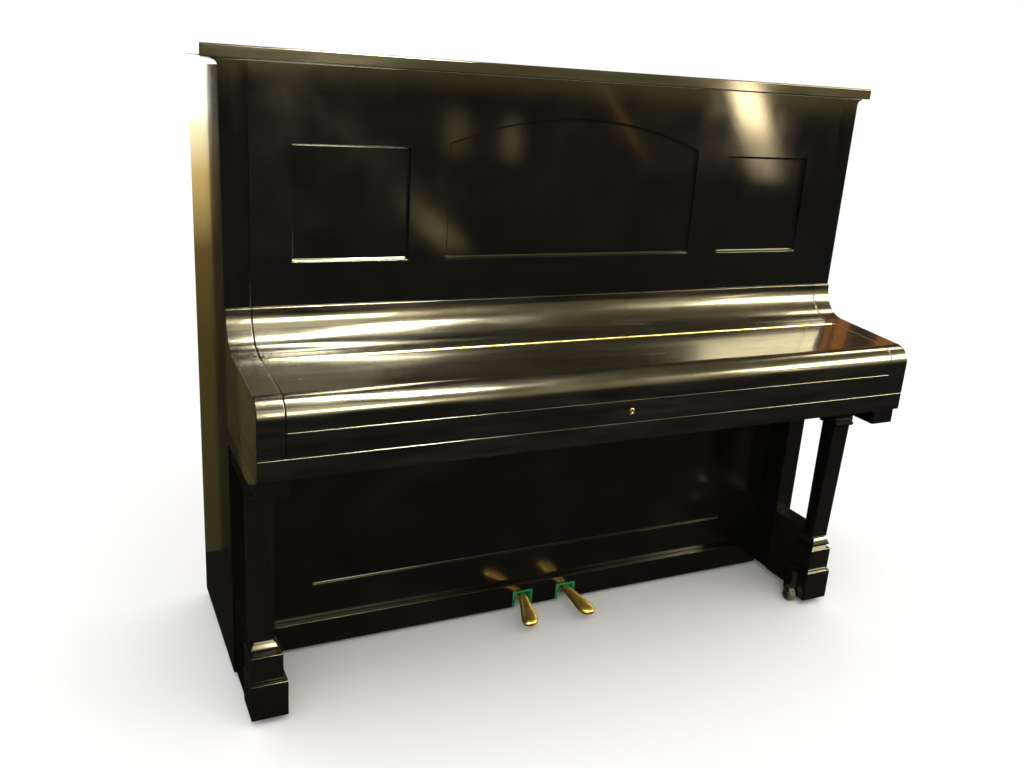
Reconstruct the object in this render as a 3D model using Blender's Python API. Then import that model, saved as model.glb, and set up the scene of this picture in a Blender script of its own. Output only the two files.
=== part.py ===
"""Upright piano, closed, standing on its casters.

Frame: +X to the player's right, +Y from the keyboard to the back, +Z up, metres. The origin is on the
floor, under the middle of the whole object's box. Depths are counted from the front face of the case
sides with y_at(), because every other piece is set out from that face.
"""
import math

import bmesh
import bpy
from mathutils import Vector

# Whole case
HEIGHT = 1.320
DEPTH_BEHIND = 0.387          # case front face to the back of the posts
ARM_REACH = 0.298             # case front face to the front of the arms
CASE_HALF = 0.7625            # half the width over the sides
SIDE_T = 0.051                # thickness of a side, and width of an arm
LID_HALF = 0.794
LID_T = 0.0235
FLOOR_GAP = 0.0155            # case above the floor, held up by the casters
GAP = 0.0003                  # clearance between pieces that touch
PLAY = 0.0005                 # clearance beside pieces that move

CASE_FRONT = -(DEPTH_BEHIND - ARM_REACH) / 2
INNER_HALF = CASE_HALF - SIDE_T
FIT_HALF = INNER_HALF - PLAY
LID_UNDER = HEIGHT - LID_T

# Keybed, key slip, arms and fall
BED_Z = (0.593, 0.634)
SLIP_TOP = 0.683
SLIP_T = 0.018
FALL_TOP = 0.835
COVE_R = 0.070
COVE_FOOT = (-0.076, 0.758)   # depth and height where the cove meets the shelf
NOSE_R = 0.040
NOSE_TOP = (-0.258, 0.7455)   # depth and height where the nose starts
FALL_T = 0.016
HINGE_D = -0.100
KNUCKLE_R = 0.0022

# Front panels and base
PANEL_T = 0.022
PANEL_SINK = 0.009
PLINTH_D = (0.054, 0.086)
PLINTH_Z = (0.010, 0.074)
LOWER_D = 0.070
FOOT_TOP = 0.200
LEG_D = (-0.165, -0.120)
LEG_X = (0.705, 0.755)

# Pedals
PEDAL_X = {"left": -0.036, "right": 0.087}
PEDAL_SPLAY = {"left": -0.026, "right": 0.009}
PEDAL_PIVOT = (0.105, 0.041)
ROD_D = 0.155
ROD_R = 0.006
SLOT_HALF = 0.0245
SLOT_TOP = 0.052

# Keyboard
NATURALS = 52
PITCH = 0.0235
HEAD = 0.050
KEY_FRONT = -0.277
KEY_BACK = 0.100
KEY_Z = (0.680, 0.703)
SHARP_TOP = 0.715
SHARP_HALF = 0.0055
KEY_GAP = 0.0005              # half the space between two keys
SHARP_CLEAR = 0.002           # space in front of a sharp, which it tips into
BALANCE_D = -0.067
BAR_D = -0.095                # depth where a joined run of keys becomes one bar
KEYS_HALF = NATURALS * PITCH / 2

# Inside
BACK_D = (0.290, DEPTH_BEHIND)
BACK_BOTTOM = 0.045
SOUNDBOARD_D = (0.262, 0.270)
PLATE_D = (0.228, 0.240)

# Casters
WHEEL_R = 0.0185
WHEEL_W = 0.016
AXLE_R = 0.0038
FRONT_CASTER = {"left": (0.694, -0.080), "right": (0.6715, -0.140)}   # the left one sits behind its toe
REAR_CASTER = (0.690, 0.340)

LOOKS = {
    "black_lacquer": ((0.012, 0.010, 0.008), 0.12, 0.0),
    "brass": ((0.78, 0.56, 0.24), 0.25, 1.0),
    "green_felt": ((0.05, 0.32, 0.14), 0.95, 0.0),
    "ivory": ((0.86, 0.82, 0.70), 0.35, 0.0),
    "ebony": ((0.02, 0.018, 0.016), 0.30, 0.0),
    "spruce": ((0.66, 0.46, 0.26), 0.55, 0.0),
    "beech": ((0.50, 0.33, 0.18), 0.60, 0.0),
    "gilt_iron": ((0.52, 0.38, 0.16), 0.40, 0.8),
    "steel": ((0.45, 0.45, 0.44), 0.35, 1.0),
    "caster_iron": ((0.36, 0.38, 0.32), 0.50, 0.6),
}


def y_at(depth):
    """World Y of a plane that far behind the front face of the case sides."""
    return CASE_FRONT + depth


def material(name):
    found = bpy.data.materials.get(name)
    if found:
        return found
    colour, roughness, metallic = LOOKS[name]
    made = bpy.data.materials.new(name)
    made.use_nodes = True
    shader = made.node_tree.nodes["Principled BSDF"]
    shader.inputs["Base Color"].default_value = (*colour, 1.0)
    shader.inputs["Roughness"].default_value = roughness
    shader.inputs["Metallic"].default_value = metallic
    made.diffuse_color = (*colour, 1.0)
    return made


def finish(name, bm, look, origin=(0, 0, 0)):
    """Turns a bmesh in world coordinates into an object whose origin is at the given point."""
    bmesh.ops.translate(bm, verts=bm.verts, vec=-Vector(origin))
    bmesh.ops.recalc_face_normals(bm, faces=bm.faces)
    mesh = bpy.data.meshes.new(name)
    bm.to_mesh(mesh)
    bm.free()
    obj = bpy.data.objects.new(name, mesh)
    obj.location = origin
    mesh.materials.append(material(look))
    bpy.context.collection.objects.link(obj)
    return obj


def extruded(outline, start, end, place):
    """A prism: outline is a list of (a, b) points, and place turns (a, b, c) into (x, y, z)."""
    bm = bmesh.new()
    near = [bm.verts.new(place(a, b, start)) for a, b in outline]
    far = [bm.verts.new(place(a, b, end)) for a, b in outline]
    bm.faces.new(near)
    bm.faces.new(list(reversed(far)))
    for i in range(len(outline)):
        j = (i + 1) % len(outline)
        bm.faces.new([near[i], far[i], far[j], near[j]])
    return bm


def along_x(outline, x0, x1):
    """Prism along X from (depth, height) points."""
    return extruded(outline, x0, x1, lambda d, z, x: (x, y_at(d), z))


def along_y(outline, d0, d1):
    """Prism along Y from (x, height) points, between two depths."""
    return extruded(outline, d0, d1, lambda x, z, d: (x, y_at(d), z))


def along_z(outline, z0, z1):
    """Prism along Z from (x, depth) points."""
    return extruded(outline, z0, z1, lambda x, d, z: (x, y_at(d), z))


def rectangle(a0, a1, b0, b1):
    return [(a0, b0), (a1, b0), (a1, b1), (a0, b1)]


def block(x, d, z):
    """A box from three (low, high) pairs: x, depth and height."""
    return along_z(rectangle(x[0], x[1], d[0], d[1]), z[0], z[1])


def arc(centre, radius, start, end, steps):
    """Points on a circle from one angle to another, in degrees."""
    points = []
    for i in range(steps + 1):
        angle = math.radians(start + (end - start) * i / steps)
        points.append((centre[0] + radius * math.cos(angle), centre[1] + radius * math.sin(angle)))
    return points


def rod_along_x(x0, x1, depth, height, radius, sides):
    return along_x(arc((depth, height), radius, 0, 360 - 360 / sides, sides - 1), x0, x1)


def rod_along_y(x, height, d0, d1, radius, sides):
    return along_y(arc((x, height), radius, 0, 360 - 360 / sides, sides - 1), d0, d1)


def helper(name, bm):
    """A hidden body that a Boolean adds or takes away."""
    obj = finish(name, bm, "steel")
    obj.hide_render = True
    obj.display_type = "WIRE"
    return obj


def combine(obj, operation, *bodies):
    """Boolean modifiers on obj, one for each bmesh."""
    for i, bm in enumerate(bodies):
        tool = helper(f"{obj.name}.{operation.lower()}.{i}", bm)
        modifier = obj.modifiers.new(tool.name, "BOOLEAN")
        modifier.operation = operation
        modifier.object = tool
        modifier.solver = "EXACT"
    return obj


def mirrored(side, low, high):
    """A (low, high) pair of |x| on the left (-1) or right (+1) of the case."""
    return (low, high) if side > 0 else (-high, -low)


def fall_curve(first_depth, last_depth):
    """The outline shared by the arms and the fall, from the cove at the back to the nose at the front."""
    centre = (COVE_FOOT[0], COVE_FOOT[1] + COVE_R)
    points = [(centre[0] + COVE_R, FALL_TOP)]
    points += arc(centre, COVE_R, 0, -90, 7)
    points += arc((NOSE_TOP[0], NOSE_TOP[1] - NOSE_R), NOSE_R, 90, 180, 6)
    return [p for p in points if last_depth - 1e-6 <= p[0] <= first_depth + 1e-6]


def shelf_height(depth):
    """Height of the nearly flat shelf between the cove and the nose."""
    share = (depth - COVE_FOOT[0]) / (NOSE_TOP[0] - COVE_FOOT[0])
    return COVE_FOOT[1] + share * (NOSE_TOP[1] - COVE_FOOT[1])


# ---------------------------------------------------------------- case

def make_side(name, side):
    """A side board, with a cove moulding under the lid's end."""
    cove = 0.012
    outer = CASE_HALF
    top = LID_UNDER - GAP
    outline = [(INNER_HALF, FLOOR_GAP), (outer, FLOOR_GAP)]
    outline += arc((outer + cove, top - 0.003 - cove), cove, 180, 90, 4)
    outline += [(outer + cove, top), (INNER_HALF, top)]
    outline = [(side * x, z) for x, z in outline]
    return finish(name, along_y(outline, 0, DEPTH_BEHIND), "black_lacquer")


def make_arm(name, side):
    """The arm that carries the keybed's end and frames the fall."""
    outline = fall_curve(0, -ARM_REACH)
    outline += [(-ARM_REACH, BED_Z[1] + GAP), (-GAP, BED_Z[1] + GAP), (-GAP, FALL_TOP)]
    x = mirrored(side, INNER_HALF, CASE_HALF)
    return finish(name, along_x(outline, *x), "black_lacquer")


def make_keybed():
    """The board under the keyboard: full width in front of the case, narrower between its sides."""
    front = -ARM_REACH + 0.002
    outline = [
        (-CASE_HALF, front), (CASE_HALF, front), (CASE_HALF, -GAP), (FIT_HALF, -GAP),
        (FIT_HALF, 0.120), (-FIT_HALF, 0.120), (-FIT_HALF, -GAP), (-CASE_HALF, -GAP),
    ]
    return finish("keybed", along_z(outline, *BED_Z), "black_lacquer")


LOCK_HALF = 0.030
LOCK_D = (-ARM_REACH + 0.0043, -ARM_REACH + SLIP_T)
LOCK_Z = (0.6465, SLIP_TOP - 0.0005)
KEYHOLE_Z = 0.658
BOSS_R = 0.0055
BOLT_HALF = 0.006
BOLT_D = (-0.2915, -0.2865)
BOLT_TRAVEL = 0.007


def make_key_slip():
    """The rail in front of the keys, mortised from behind for the lock."""
    slip = finish(
        "key_slip",
        block((-FIT_HALF, FIT_HALF), (-ARM_REACH, -ARM_REACH + SLIP_T), (BED_Z[1] + GAP, SLIP_TOP)),
        "black_lacquer",
    )
    pocket = block(
        (-LOCK_HALF - PLAY, LOCK_HALF + PLAY),
        (LOCK_D[0] - PLAY, LOCK_D[1] + 0.005),
        (LOCK_Z[0] - PLAY, SLIP_TOP + 0.005),
    )
    hole = rod_along_y(0, KEYHOLE_Z, -ARM_REACH - 0.005, LOCK_D[1], BOSS_R + PLAY, 12)
    return combine(slip, "DIFFERENCE", pocket, hole)


def make_fall_lock():
    """The fall's lock: a case, and a round boss that shows as the keyhole."""
    lock = finish("fall_lock", block((-LOCK_HALF, LOCK_HALF), LOCK_D, LOCK_Z), "brass")
    boss = rod_along_y(0, KEYHOLE_Z, -ARM_REACH, LOCK_D[0] + 0.002, BOSS_R, 12)
    combine(lock, "UNION", boss)
    slot = block(
        (-BOLT_HALF - PLAY, BOLT_HALF + PLAY),
        (BOLT_D[0] - PLAY, BOLT_D[1] + PLAY),
        (0.6655, LOCK_Z[1] + 0.005),
    )
    keyhole = block((-0.0012, 0.0012), (-ARM_REACH - 0.002, LOCK_D[0] - 0.001), (0.6545, 0.6605))
    return combine(lock, "DIFFERENCE", slot, keyhole)


def make_lock_bolt():
    return finish(
        "lock_bolt",
        block((-BOLT_HALF, BOLT_HALF), BOLT_D, (0.6665, LOCK_Z[1] - 0.0002)),
        "steel",
        (0, y_at(sum(BOLT_D) / 2), LOCK_Z[1]),
    )


def make_fall_back():
    """The fixed rear part of the fall: the cove below the upper panel."""
    front = HINGE_D + KNUCKLE_R + 0.0006
    outer = fall_curve(0, COVE_FOOT[0]) + [(front, shelf_height(front))]
    centre = (COVE_FOOT[0], COVE_FOOT[1] + COVE_R)
    inner = [(front, shelf_height(front) - FALL_T)]
    inner += arc(centre, COVE_R + FALL_T, -90, 0, 7)
    inner += [(centre[0] + COVE_R + FALL_T, FALL_TOP)]
    return finish("fall_back", along_x(outer + inner, -FIT_HALF, FIT_HALF), "black_lacquer")


def make_fall_flap():
    """The flap over the keys, which turns up about the brass hinge."""
    rear = HINGE_D - KNUCKLE_R - 0.0006
    outer = [(rear, shelf_height(rear))] + fall_curve(NOSE_TOP[0] + 0.001, -ARM_REACH)
    outer += [(-ARM_REACH, SLIP_TOP + PLAY)]
    inner = [(-ARM_REACH + FALL_T, SLIP_TOP + PLAY)]
    inner += arc((NOSE_TOP[0], NOSE_TOP[1] - NOSE_R), NOSE_R - FALL_T, 180, 90, 4)
    inner += [(rear, shelf_height(rear) - FALL_T)]
    hinge = (0, y_at(HINGE_D), shelf_height(HINGE_D))
    flap = finish("fall_flap", along_x(outer + inner, -FIT_HALF, FIT_HALF), "black_lacquer", hinge)
    mortise = block(
        (-BOLT_HALF - 0.002, BOLT_HALF + 0.002),
        (BOLT_D[0] - 0.001, BOLT_D[1] + 0.001),
        (SLIP_TOP - 0.005, SLIP_TOP + BOLT_TRAVEL + 0.002),
    )
    return combine(flap, "DIFFERENCE", mortise)


def make_fall_hinge():
    """The knuckle of the continuous hinge, and the leaf under the fixed part's edge."""
    height = shelf_height(HINGE_D)
    knuckle = rod_along_x(-FIT_HALF, FIT_HALF, HINGE_D, height, KNUCKLE_R, 12)
    hinge = finish("fall_hinge", knuckle, "brass")
    leaf_z = shelf_height(HINGE_D) - FALL_T - 0.001
    web = block((-FIT_HALF, FIT_HALF), (HINGE_D - 0.0008, HINGE_D + 0.0008), (leaf_z - 0.001, height))
    leaf = block((-FIT_HALF, FIT_HALF), (HINGE_D - 0.0008, HINGE_D + 0.020), (leaf_z - 0.001, leaf_z))
    return combine(hinge, "UNION", web, leaf)


def make_key_block(name, side):
    x = mirrored(side, KEYS_HALF + 0.0015, FIT_HALF)
    body = block(x, (KEY_FRONT + 0.004, HINGE_D - 0.004), (BED_Z[1] + GAP, 0.721))
    return finish(name, body, "black_lacquer")


def make_lid():
    """The lid, hinged at the back."""
    rear = DEPTH_BEHIND - 0.0055
    pivot = (0, y_at(DEPTH_BEHIND - 0.0025), LID_UNDER)
    body = block((-LID_HALF, LID_HALF), (-0.006, rear), (LID_UNDER, HEIGHT))
    return finish("lid", body, "black_lacquer", pivot)


def make_lid_hinge():
    """Continuous hinge on the back rail: a knuckle behind the lid's edge, and a leaf below it."""
    centre = DEPTH_BEHIND - 0.0025
    knuckle = rod_along_x(-0.700, 0.700, centre, LID_UNDER, 0.0024, 12)
    hinge = finish("lid_hinge", knuckle, "brass")
    leaf = block((-0.700, 0.700), (centre - 0.030, centre), (LID_UNDER - 0.0023, LID_UNDER - 0.0008))
    return combine(hinge, "UNION", leaf)


# ---------------------------------------------------------------- front panels

PANEL_FOOT = 0.923
SIDE_PANEL = (0.391, 0.630, 1.150)
CENTRE_HALF = 0.307
SHOULDER_Z = 1.160
CROWN_Z = 1.219


def arched(inset):
    """Outline of the centre panel: upright sides and one arc across the top."""
    half = CENTRE_HALF - inset
    rise = CROWN_Z - SHOULDER_Z
    radius = (CENTRE_HALF ** 2 + rise ** 2) / (2 * rise)
    centre = (0, CROWN_Z - radius)
    reach = math.degrees(math.asin(half / (radius - inset)))
    top = arc(centre, radius - inset, 90 - reach, 90 + reach, 14)
    return [(-half, PANEL_FOOT + inset), (half, PANEL_FOOT + inset)] + top


def squared(x0, x1, z0, z1, inset):
    return rectangle(x0 + inset, x1 - inset, z0 + inset, z1 - inset)


def sunk(outline_at, front, depth):
    """Cutter for a sunk panel with sloping edges, from a function of the inset."""
    bm = bmesh.new()
    rings = []
    for inset, d in ((-0.002, front - 0.002), (depth, front + depth)):
        rings.append([bm.verts.new((x, y_at(d), z)) for x, z in outline_at(inset)])
    bm.faces.new(rings[0])
    bm.faces.new(list(reversed(rings[1])))
    for i in range(len(rings[0])):
        j = (i + 1) % len(rings[0])
        bm.faces.new([rings[0][i], rings[1][i], rings[1][j], rings[0][j]])
    return bm


def make_upper_panel():
    """The board above the fall, with an arched panel between two square ones."""
    z = (FALL_TOP + GAP, LID_UNDER - PLAY)
    panel = finish("upper_panel", block((-FIT_HALF, FIT_HALF), (0, PANEL_T), z), "black_lacquer")
    inner, outer, top = SIDE_PANEL
    left = sunk(lambda inset: squared(-outer, -inner, PANEL_FOOT, top, inset), 0, PANEL_SINK)
    right = sunk(lambda inset: squared(inner, outer, PANEL_FOOT, top, inset), 0, PANEL_SINK)
    middle = sunk(arched, 0, PANEL_SINK)
    return combine(panel, "DIFFERENCE", left, right, middle)


def make_lower_panel():
    """The board below the keybed. It stands on the plinth and tips forward to come out."""
    z = (PLINTH_Z[1] + PLAY, BED_Z[0] - 0.003)
    pivot = (0, y_at(LOWER_D), z[0])
    body = block((-FIT_HALF + 0.001, FIT_HALF - 0.001), (LOWER_D, LOWER_D + 0.018), z)
    panel = finish("lower_panel", body, "black_lacquer", pivot)
    cutter = sunk(lambda inset: squared(-0.570, 0.570, 0.160, 0.505, inset), LOWER_D, 0.006)
    return combine(panel, "DIFFERENCE", cutter)


def make_plinth():
    """The bottom rail, notched for the pedals."""
    plinth = finish("plinth", block((-FIT_HALF, FIT_HALF), PLINTH_D, PLINTH_Z), "black_lacquer")
    notches = []
    for centre in PEDAL_X.values():
        x = (centre - SLOT_HALF, centre + SLOT_HALF)
        notches.append(block(x, (PLINTH_D[0] - 0.01, PLINTH_D[1] + 0.01), (0, SLOT_TOP)))
    return combine(plinth, "DIFFERENCE", *notches)


def make_bottom_board():
    """The board inside the base, with a pair of cheeks at each pedal's pivot."""
    board = block((-FIT_HALF, FIT_HALF), (PLINTH_D[1] + PLAY, 0.215), (0.012, 0.030))
    bottom = finish("bottom_board", board, "beech")
    cheeks = []
    for centre in PEDAL_X.values():
        for side in (-1, 1):
            x = sorted((centre + side * 0.0125, centre + side * 0.0165))
            cheeks.append(block(x, (0.096, 0.116), (0.028, 0.052)))
    return combine(bottom, "UNION", *cheeks)


# ---------------------------------------------------------------- base

def make_leg(name, side):
    """A tapered square column with its capital, and the corbel that carries the keybed."""
    column_top = 0.512
    corbel_z = (0.554, BED_Z[0] - GAP)
    corbel = block(mirrored(side, 0.700, CASE_HALF), (-0.284, -GAP), corbel_z)
    leg = finish(name, corbel, "black_lacquer")
    capital = along_x(
        [(-0.176, corbel_z[0] + 0.002), (-0.176, 0.535), (-0.171, 0.530), (-0.171, 0.505), (-0.112, 0.505),
         (-0.112, column_top), (-GAP, column_top), (-GAP, corbel_z[0] + 0.002)],
        *mirrored(side, 0.7015, 0.759),
    )
    foot = FOOT_TOP + GAP
    column = along_x(
        [(LEG_D[0], column_top), (LEG_D[0] + 0.010, foot), (LEG_D[1], foot), (LEG_D[1], column_top)],
        *mirrored(side, *LEG_X),
    )
    return combine(leg, "UNION", capital, column)


def make_foot(name, side):
    """The runner that ties the leg to the case, and the stepped toe in front."""
    runner = block(mirrored(side, 0.7065, 0.757), (-0.120, -GAP), (FLOOR_GAP, FOOT_TOP - 0.004))
    foot = finish(name, runner, "black_lacquer")
    lower = block(mirrored(side, 0.684, 0.760), (-0.182, -0.100), (FLOOR_GAP, 0.097))
    upper = block(mirrored(side, 0.692, 0.7585), (-0.173, -0.105), (0.095, 0.157))
    cap = block(mirrored(side, 0.701, 0.7565), (-0.167, -0.110), (0.155, FOOT_TOP))
    return combine(foot, "UNION", lower, upper, cap)


def make_caster(name, x, depth, side, plate_top):
    """A fixed caster: a fork with its axle, and a wheel that turns on it."""
    centre = side * x
    half = WHEEL_W / 2 + 0.001
    cheek = half + 0.003
    top = (2 * WHEEL_R + 0.0025, 2 * WHEEL_R + 0.0055)
    low = WHEEL_R - 0.008
    outline = [(-cheek, low), (-half, low), (-half, top[0]), (half, top[0]), (half, low), (cheek, low)]
    outline += [(cheek, max(top[1], plate_top))]
    if plate_top > top[1]:
        outline += [(half, plate_top), (half, top[1])]
    outline += [(-cheek, top[1])]
    outline = [(centre + side * dx, z) for dx, z in outline]
    fork = finish(f"caster_bracket_{name}", along_y(outline, depth - 0.008, depth + 0.008), "caster_iron")
    reach = half + 0.002
    combine(fork, "UNION", rod_along_x(centre - reach, centre + reach, depth, WHEEL_R, AXLE_R, 12))

    sides = 28
    bm = bmesh.new()
    rings = []
    for dx, r in ((-1, AXLE_R + 0.0005), (-1, WHEEL_R - 0.001), (-0.8, WHEEL_R),
                  (0.8, WHEEL_R), (1, WHEEL_R - 0.001), (1, AXLE_R + 0.0005)):
        ring = arc((depth, WHEEL_R), r, -90, 270 - 360 / sides, sides - 1)
        rings.append([bm.verts.new((centre + dx * WHEEL_W / 2, y_at(d), z)) for d, z in ring])
    for i, ring in enumerate(rings):
        after = rings[(i + 1) % len(rings)]
        for j in range(sides):
            k = (j + 1) % sides
            bm.faces.new([ring[j], ring[k], after[k], after[j]])
    hub = (centre, y_at(depth), WHEEL_R)
    finish(f"caster_wheel_{name}", bm, "caster_iron", hub)


# ---------------------------------------------------------------- pedals

PEDAL_STATIONS = (
    # depth, half width, underside, top
    (0.166, 0.007, 0.0365, 0.0455),
    (0.060, 0.010, 0.0355, 0.0465),
    (0.040, 0.0115, 0.0345, 0.0465),
    (0.010, 0.0150, 0.0305, 0.0450),
    (-0.020, 0.0190, 0.0275, 0.0430),
    (-0.042, 0.0210, 0.0250, 0.0410),
    (-0.056, 0.0180, 0.0235, 0.0380),
    (-0.064, 0.0100, 0.0250, 0.0340),
)


def make_pedal(name, which):
    """A brass pedal lofted from its tail to its spoon-shaped toe, splayed outside the plinth."""
    sides = 10
    bm = bmesh.new()
    rings = []
    for depth, half, low, high in PEDAL_STATIONS:
        outside = max(0.0, PLINTH_D[0] - depth) / 0.100
        x = PEDAL_X[which] + PEDAL_SPLAY[which] * outside
        middle = (low + high) / 2
        ring = []
        for i in range(sides):
            angle = 2 * math.pi * (i + 0.5) / sides
            a = math.copysign(abs(math.cos(angle)) ** 0.6, math.cos(angle))
            b = math.copysign(abs(math.sin(angle)) ** 0.6, math.sin(angle))
            ring.append(bm.verts.new((x + half * a, y_at(depth), middle + (high - low) / 2 * b)))
        rings.append(ring)
    bm.faces.new(rings[0])
    bm.faces.new(list(reversed(rings[-1])))
    for near, far in zip(rings, rings[1:]):
        for i in range(sides):
            j = (i + 1) % sides
            bm.faces.new([near[i], far[i], far[j], near[j]])
    pivot = (PEDAL_X[which], y_at(PEDAL_PIVOT[0]), PEDAL_PIVOT[1])
    finish(name, bm, "brass", pivot)


def make_pedal_felt(name, which):
    """The green felt that lines a pedal's notch on three sides."""
    centre = PEDAL_X[which]
    outer = SLOT_HALF - GAP
    inner = outer - 0.003
    top = SLOT_TOP - GAP
    foot = PLINTH_Z[0] + 0.001
    outline = [
        (centre - outer, foot), (centre - inner, foot), (centre - inner, top - 0.003),
        (centre + inner, top - 0.003), (centre + inner, foot), (centre + outer, foot),
        (centre + outer, top), (centre - outer, top),
    ]
    finish(name, along_y(outline, PLINTH_D[0] - 0.003, PLINTH_D[1] - 0.006), "green_felt")


def make_pedal_rod(name, which, top):
    """The upright rod that a pedal's tail lifts."""
    centre = (PEDAL_X[which], y_at(ROD_D))
    bottom = 0.0475
    outline = arc((PEDAL_X[which], ROD_D), ROD_R, 0, 360 - 360 / 8, 7)
    finish(name, along_z(outline, bottom, top), "beech", (*centre, bottom))


# ---------------------------------------------------------------- action

HAMMER_PIVOT = (0.195, 0.900)
DAMPER_PIVOT = (0.125, 0.815)
RAIL_HALF = 0.620
ARM_X = 0.600


def bar_between(a, b, half, x0, x1):
    """A flat arm in a plane across X, from one (depth, height) point to another."""
    run = Vector((b[0] - a[0], b[1] - a[1]))
    side = Vector((-run.y, run.x)).normalized() * half
    start = Vector(a)
    end = Vector(b)
    corners = [start + side, end + side, end - side, start - side]
    return along_x([tuple(c) for c in corners], x0, x1)


def make_hammer_rail():
    """The rail that the hammers rest on, hung on two arms. The left pedal swings it to the strings."""
    rail = block((-RAIL_HALF, RAIL_HALF), (0.088, 0.100), (1.000, 1.040))
    pivot = (0, y_at(HAMMER_PIVOT[0]), HAMMER_PIVOT[1])
    obj = finish("hammer_rail", rail, "beech", pivot)
    arms = [bar_between((0.094, 1.010), HAMMER_PIVOT, 0.006, x, x + 0.008) for x in (-ARM_X, ARM_X - 0.008)]
    x = PEDAL_X["left"]
    finger = block((x - 0.010, x + 0.010), (0.098, ROD_D + ROD_R), (1.001, 1.009))
    return combine(obj, "UNION", *arms, finger)


def make_damper_rail():
    """The lift rail under the dampers. The right pedal swings it forward."""
    rail = block((-RAIL_HALF, RAIL_HALF), (0.176, 0.186), (0.845, 0.857))
    pivot = (0, y_at(DAMPER_PIVOT[0]), DAMPER_PIVOT[1])
    obj = finish("damper_rail", rail, "steel", pivot)
    arms = [bar_between((0.180, 0.850), DAMPER_PIVOT, 0.004, x, x + 0.006) for x in (-ARM_X, ARM_X - 0.006)]
    x = PEDAL_X["right"]
    lug = block((x - 0.010, x + 0.010), (ROD_D - ROD_R, 0.178), (0.846, 0.852))
    return combine(obj, "UNION", *arms, lug)


def make_action_frame():
    """The action's main beam on four cast brackets, standing at the back of the keybed."""
    beam = block((-0.664, 0.664), (0.118, 0.140), (0.872, 0.905))
    obj = finish("action_frame", beam, "gilt_iron")
    outline = [(0.103, BED_Z[1] + GAP), (0.118, BED_Z[1] + GAP), (0.122, 0.720), (0.142, 0.780),
               (0.142, 0.880), (0.116, 0.880), (0.110, 0.760), (0.103, 0.720)]
    brackets = [along_x(outline, x - 0.003, x + 0.003) for x in (-0.655, -0.210, 0.210, 0.655)]
    return combine(obj, "UNION", *brackets)


def make_key_frame():
    """The frame that the keys rock on: front, balance and back rails on a thin bed."""
    low = BED_Z[1] + GAP
    outline = [(-0.276, low), (0.100, low), (0.100, 0.6792), (0.060, 0.6792), (0.060, 0.650),
               (-0.045, 0.650), (-0.045, 0.6788), (-0.089, 0.6788), (-0.089, 0.650),
               (-0.236, 0.650), (-0.236, 0.664), (-0.276, 0.664)]
    return finish("key_frame", along_x(outline, -KEYS_HALF, KEYS_HALF), "beech")


# ---------------------------------------------------------------- keyboard

OCTAVE = ("C", "D", "E", "F", "G", "A", "B")
# Shift of each sharp from the line between its two naturals; E and B have no sharp above them.
SHARP_SHIFT = {"C": -0.0035, "D": 0.0035, "F": -0.0045, "G": 0.0, "A": 0.0045}
FIRST_LETTER = 5              # the lowest key is an A
MIDDLE = range(23, 30)        # naturals of the octave that moves key by key


def letter(index):
    return OCTAVE[(FIRST_LETTER + index) % 7]


def sharp_centre(index):
    """X of the sharp above a natural, or None."""
    if letter(index) not in SHARP_SHIFT or index + 1 >= NATURALS:
        return None
    return -KEYS_HALF + (index + 1) * PITCH + SHARP_SHIFT[letter(index)]


def tail(index):
    """(left, right) of a natural's narrow part, between its neighbours."""
    left = -KEYS_HALF + index * PITCH + KEY_GAP
    right = left + PITCH - 2 * KEY_GAP
    below = sharp_centre(index - 1) if index > 0 else None
    above = sharp_centre(index)
    if below is not None:
        left = below + SHARP_HALF + 2 * KEY_GAP
    if above is not None:
        right = above - SHARP_HALF - 2 * KEY_GAP
    return left, right


def natural_front(index):
    """The front of a natural in plan, from its left shoulder round the head to its right shoulder."""
    left = -KEYS_HALF + index * PITCH + KEY_GAP
    right = left + PITCH - 2 * KEY_GAP
    tail_left, tail_right = tail(index)
    shoulder = KEY_FRONT + HEAD
    points = [(left, KEY_FRONT), (right, KEY_FRONT)]
    if tail_left > left + 1e-6:
        points = [(tail_left, shoulder), (left, shoulder)] + points
    if tail_right < right - 1e-6:
        points += [(right, shoulder), (tail_right, shoulder)]
    return points, tail_left, tail_right


def make_natural(name, index):
    points, left, right = natural_front(index)
    outline = points + [(right, KEY_BACK), (left, KEY_BACK)]
    finish(name, along_z(outline, *KEY_Z), "ivory", (0, y_at(BALANCE_D), KEY_Z[0]))


def sharp_outline():
    front = KEY_FRONT + HEAD + SHARP_CLEAR
    return [(front, KEY_Z[0]), (front, KEY_Z[1] + 0.002), (front + 0.004, SHARP_TOP), (-0.120, SHARP_TOP),
            (-0.120, KEY_Z[1]), (KEY_BACK, KEY_Z[1]), (KEY_BACK, KEY_Z[0])]


def make_sharp(name, index):
    centre = sharp_centre(index)
    body = along_x(sharp_outline(), centre - SHARP_HALF, centre + SHARP_HALF)
    finish(name, body, "ebony", (0, y_at(BALANCE_D), KEY_Z[0]))


def make_natural_run(name, indices):
    """Fixed naturals as one comb: separate in front, one bar behind."""
    outline = []
    for index in indices:
        points, left, right = natural_front(index)
        outline += [(left, BAR_D)] + points + [(right, BAR_D)]
    outline += [(outline[-1][0], KEY_BACK), (outline[0][0], KEY_BACK)]
    finish(name, along_z(outline, *KEY_Z), "ivory")


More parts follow.
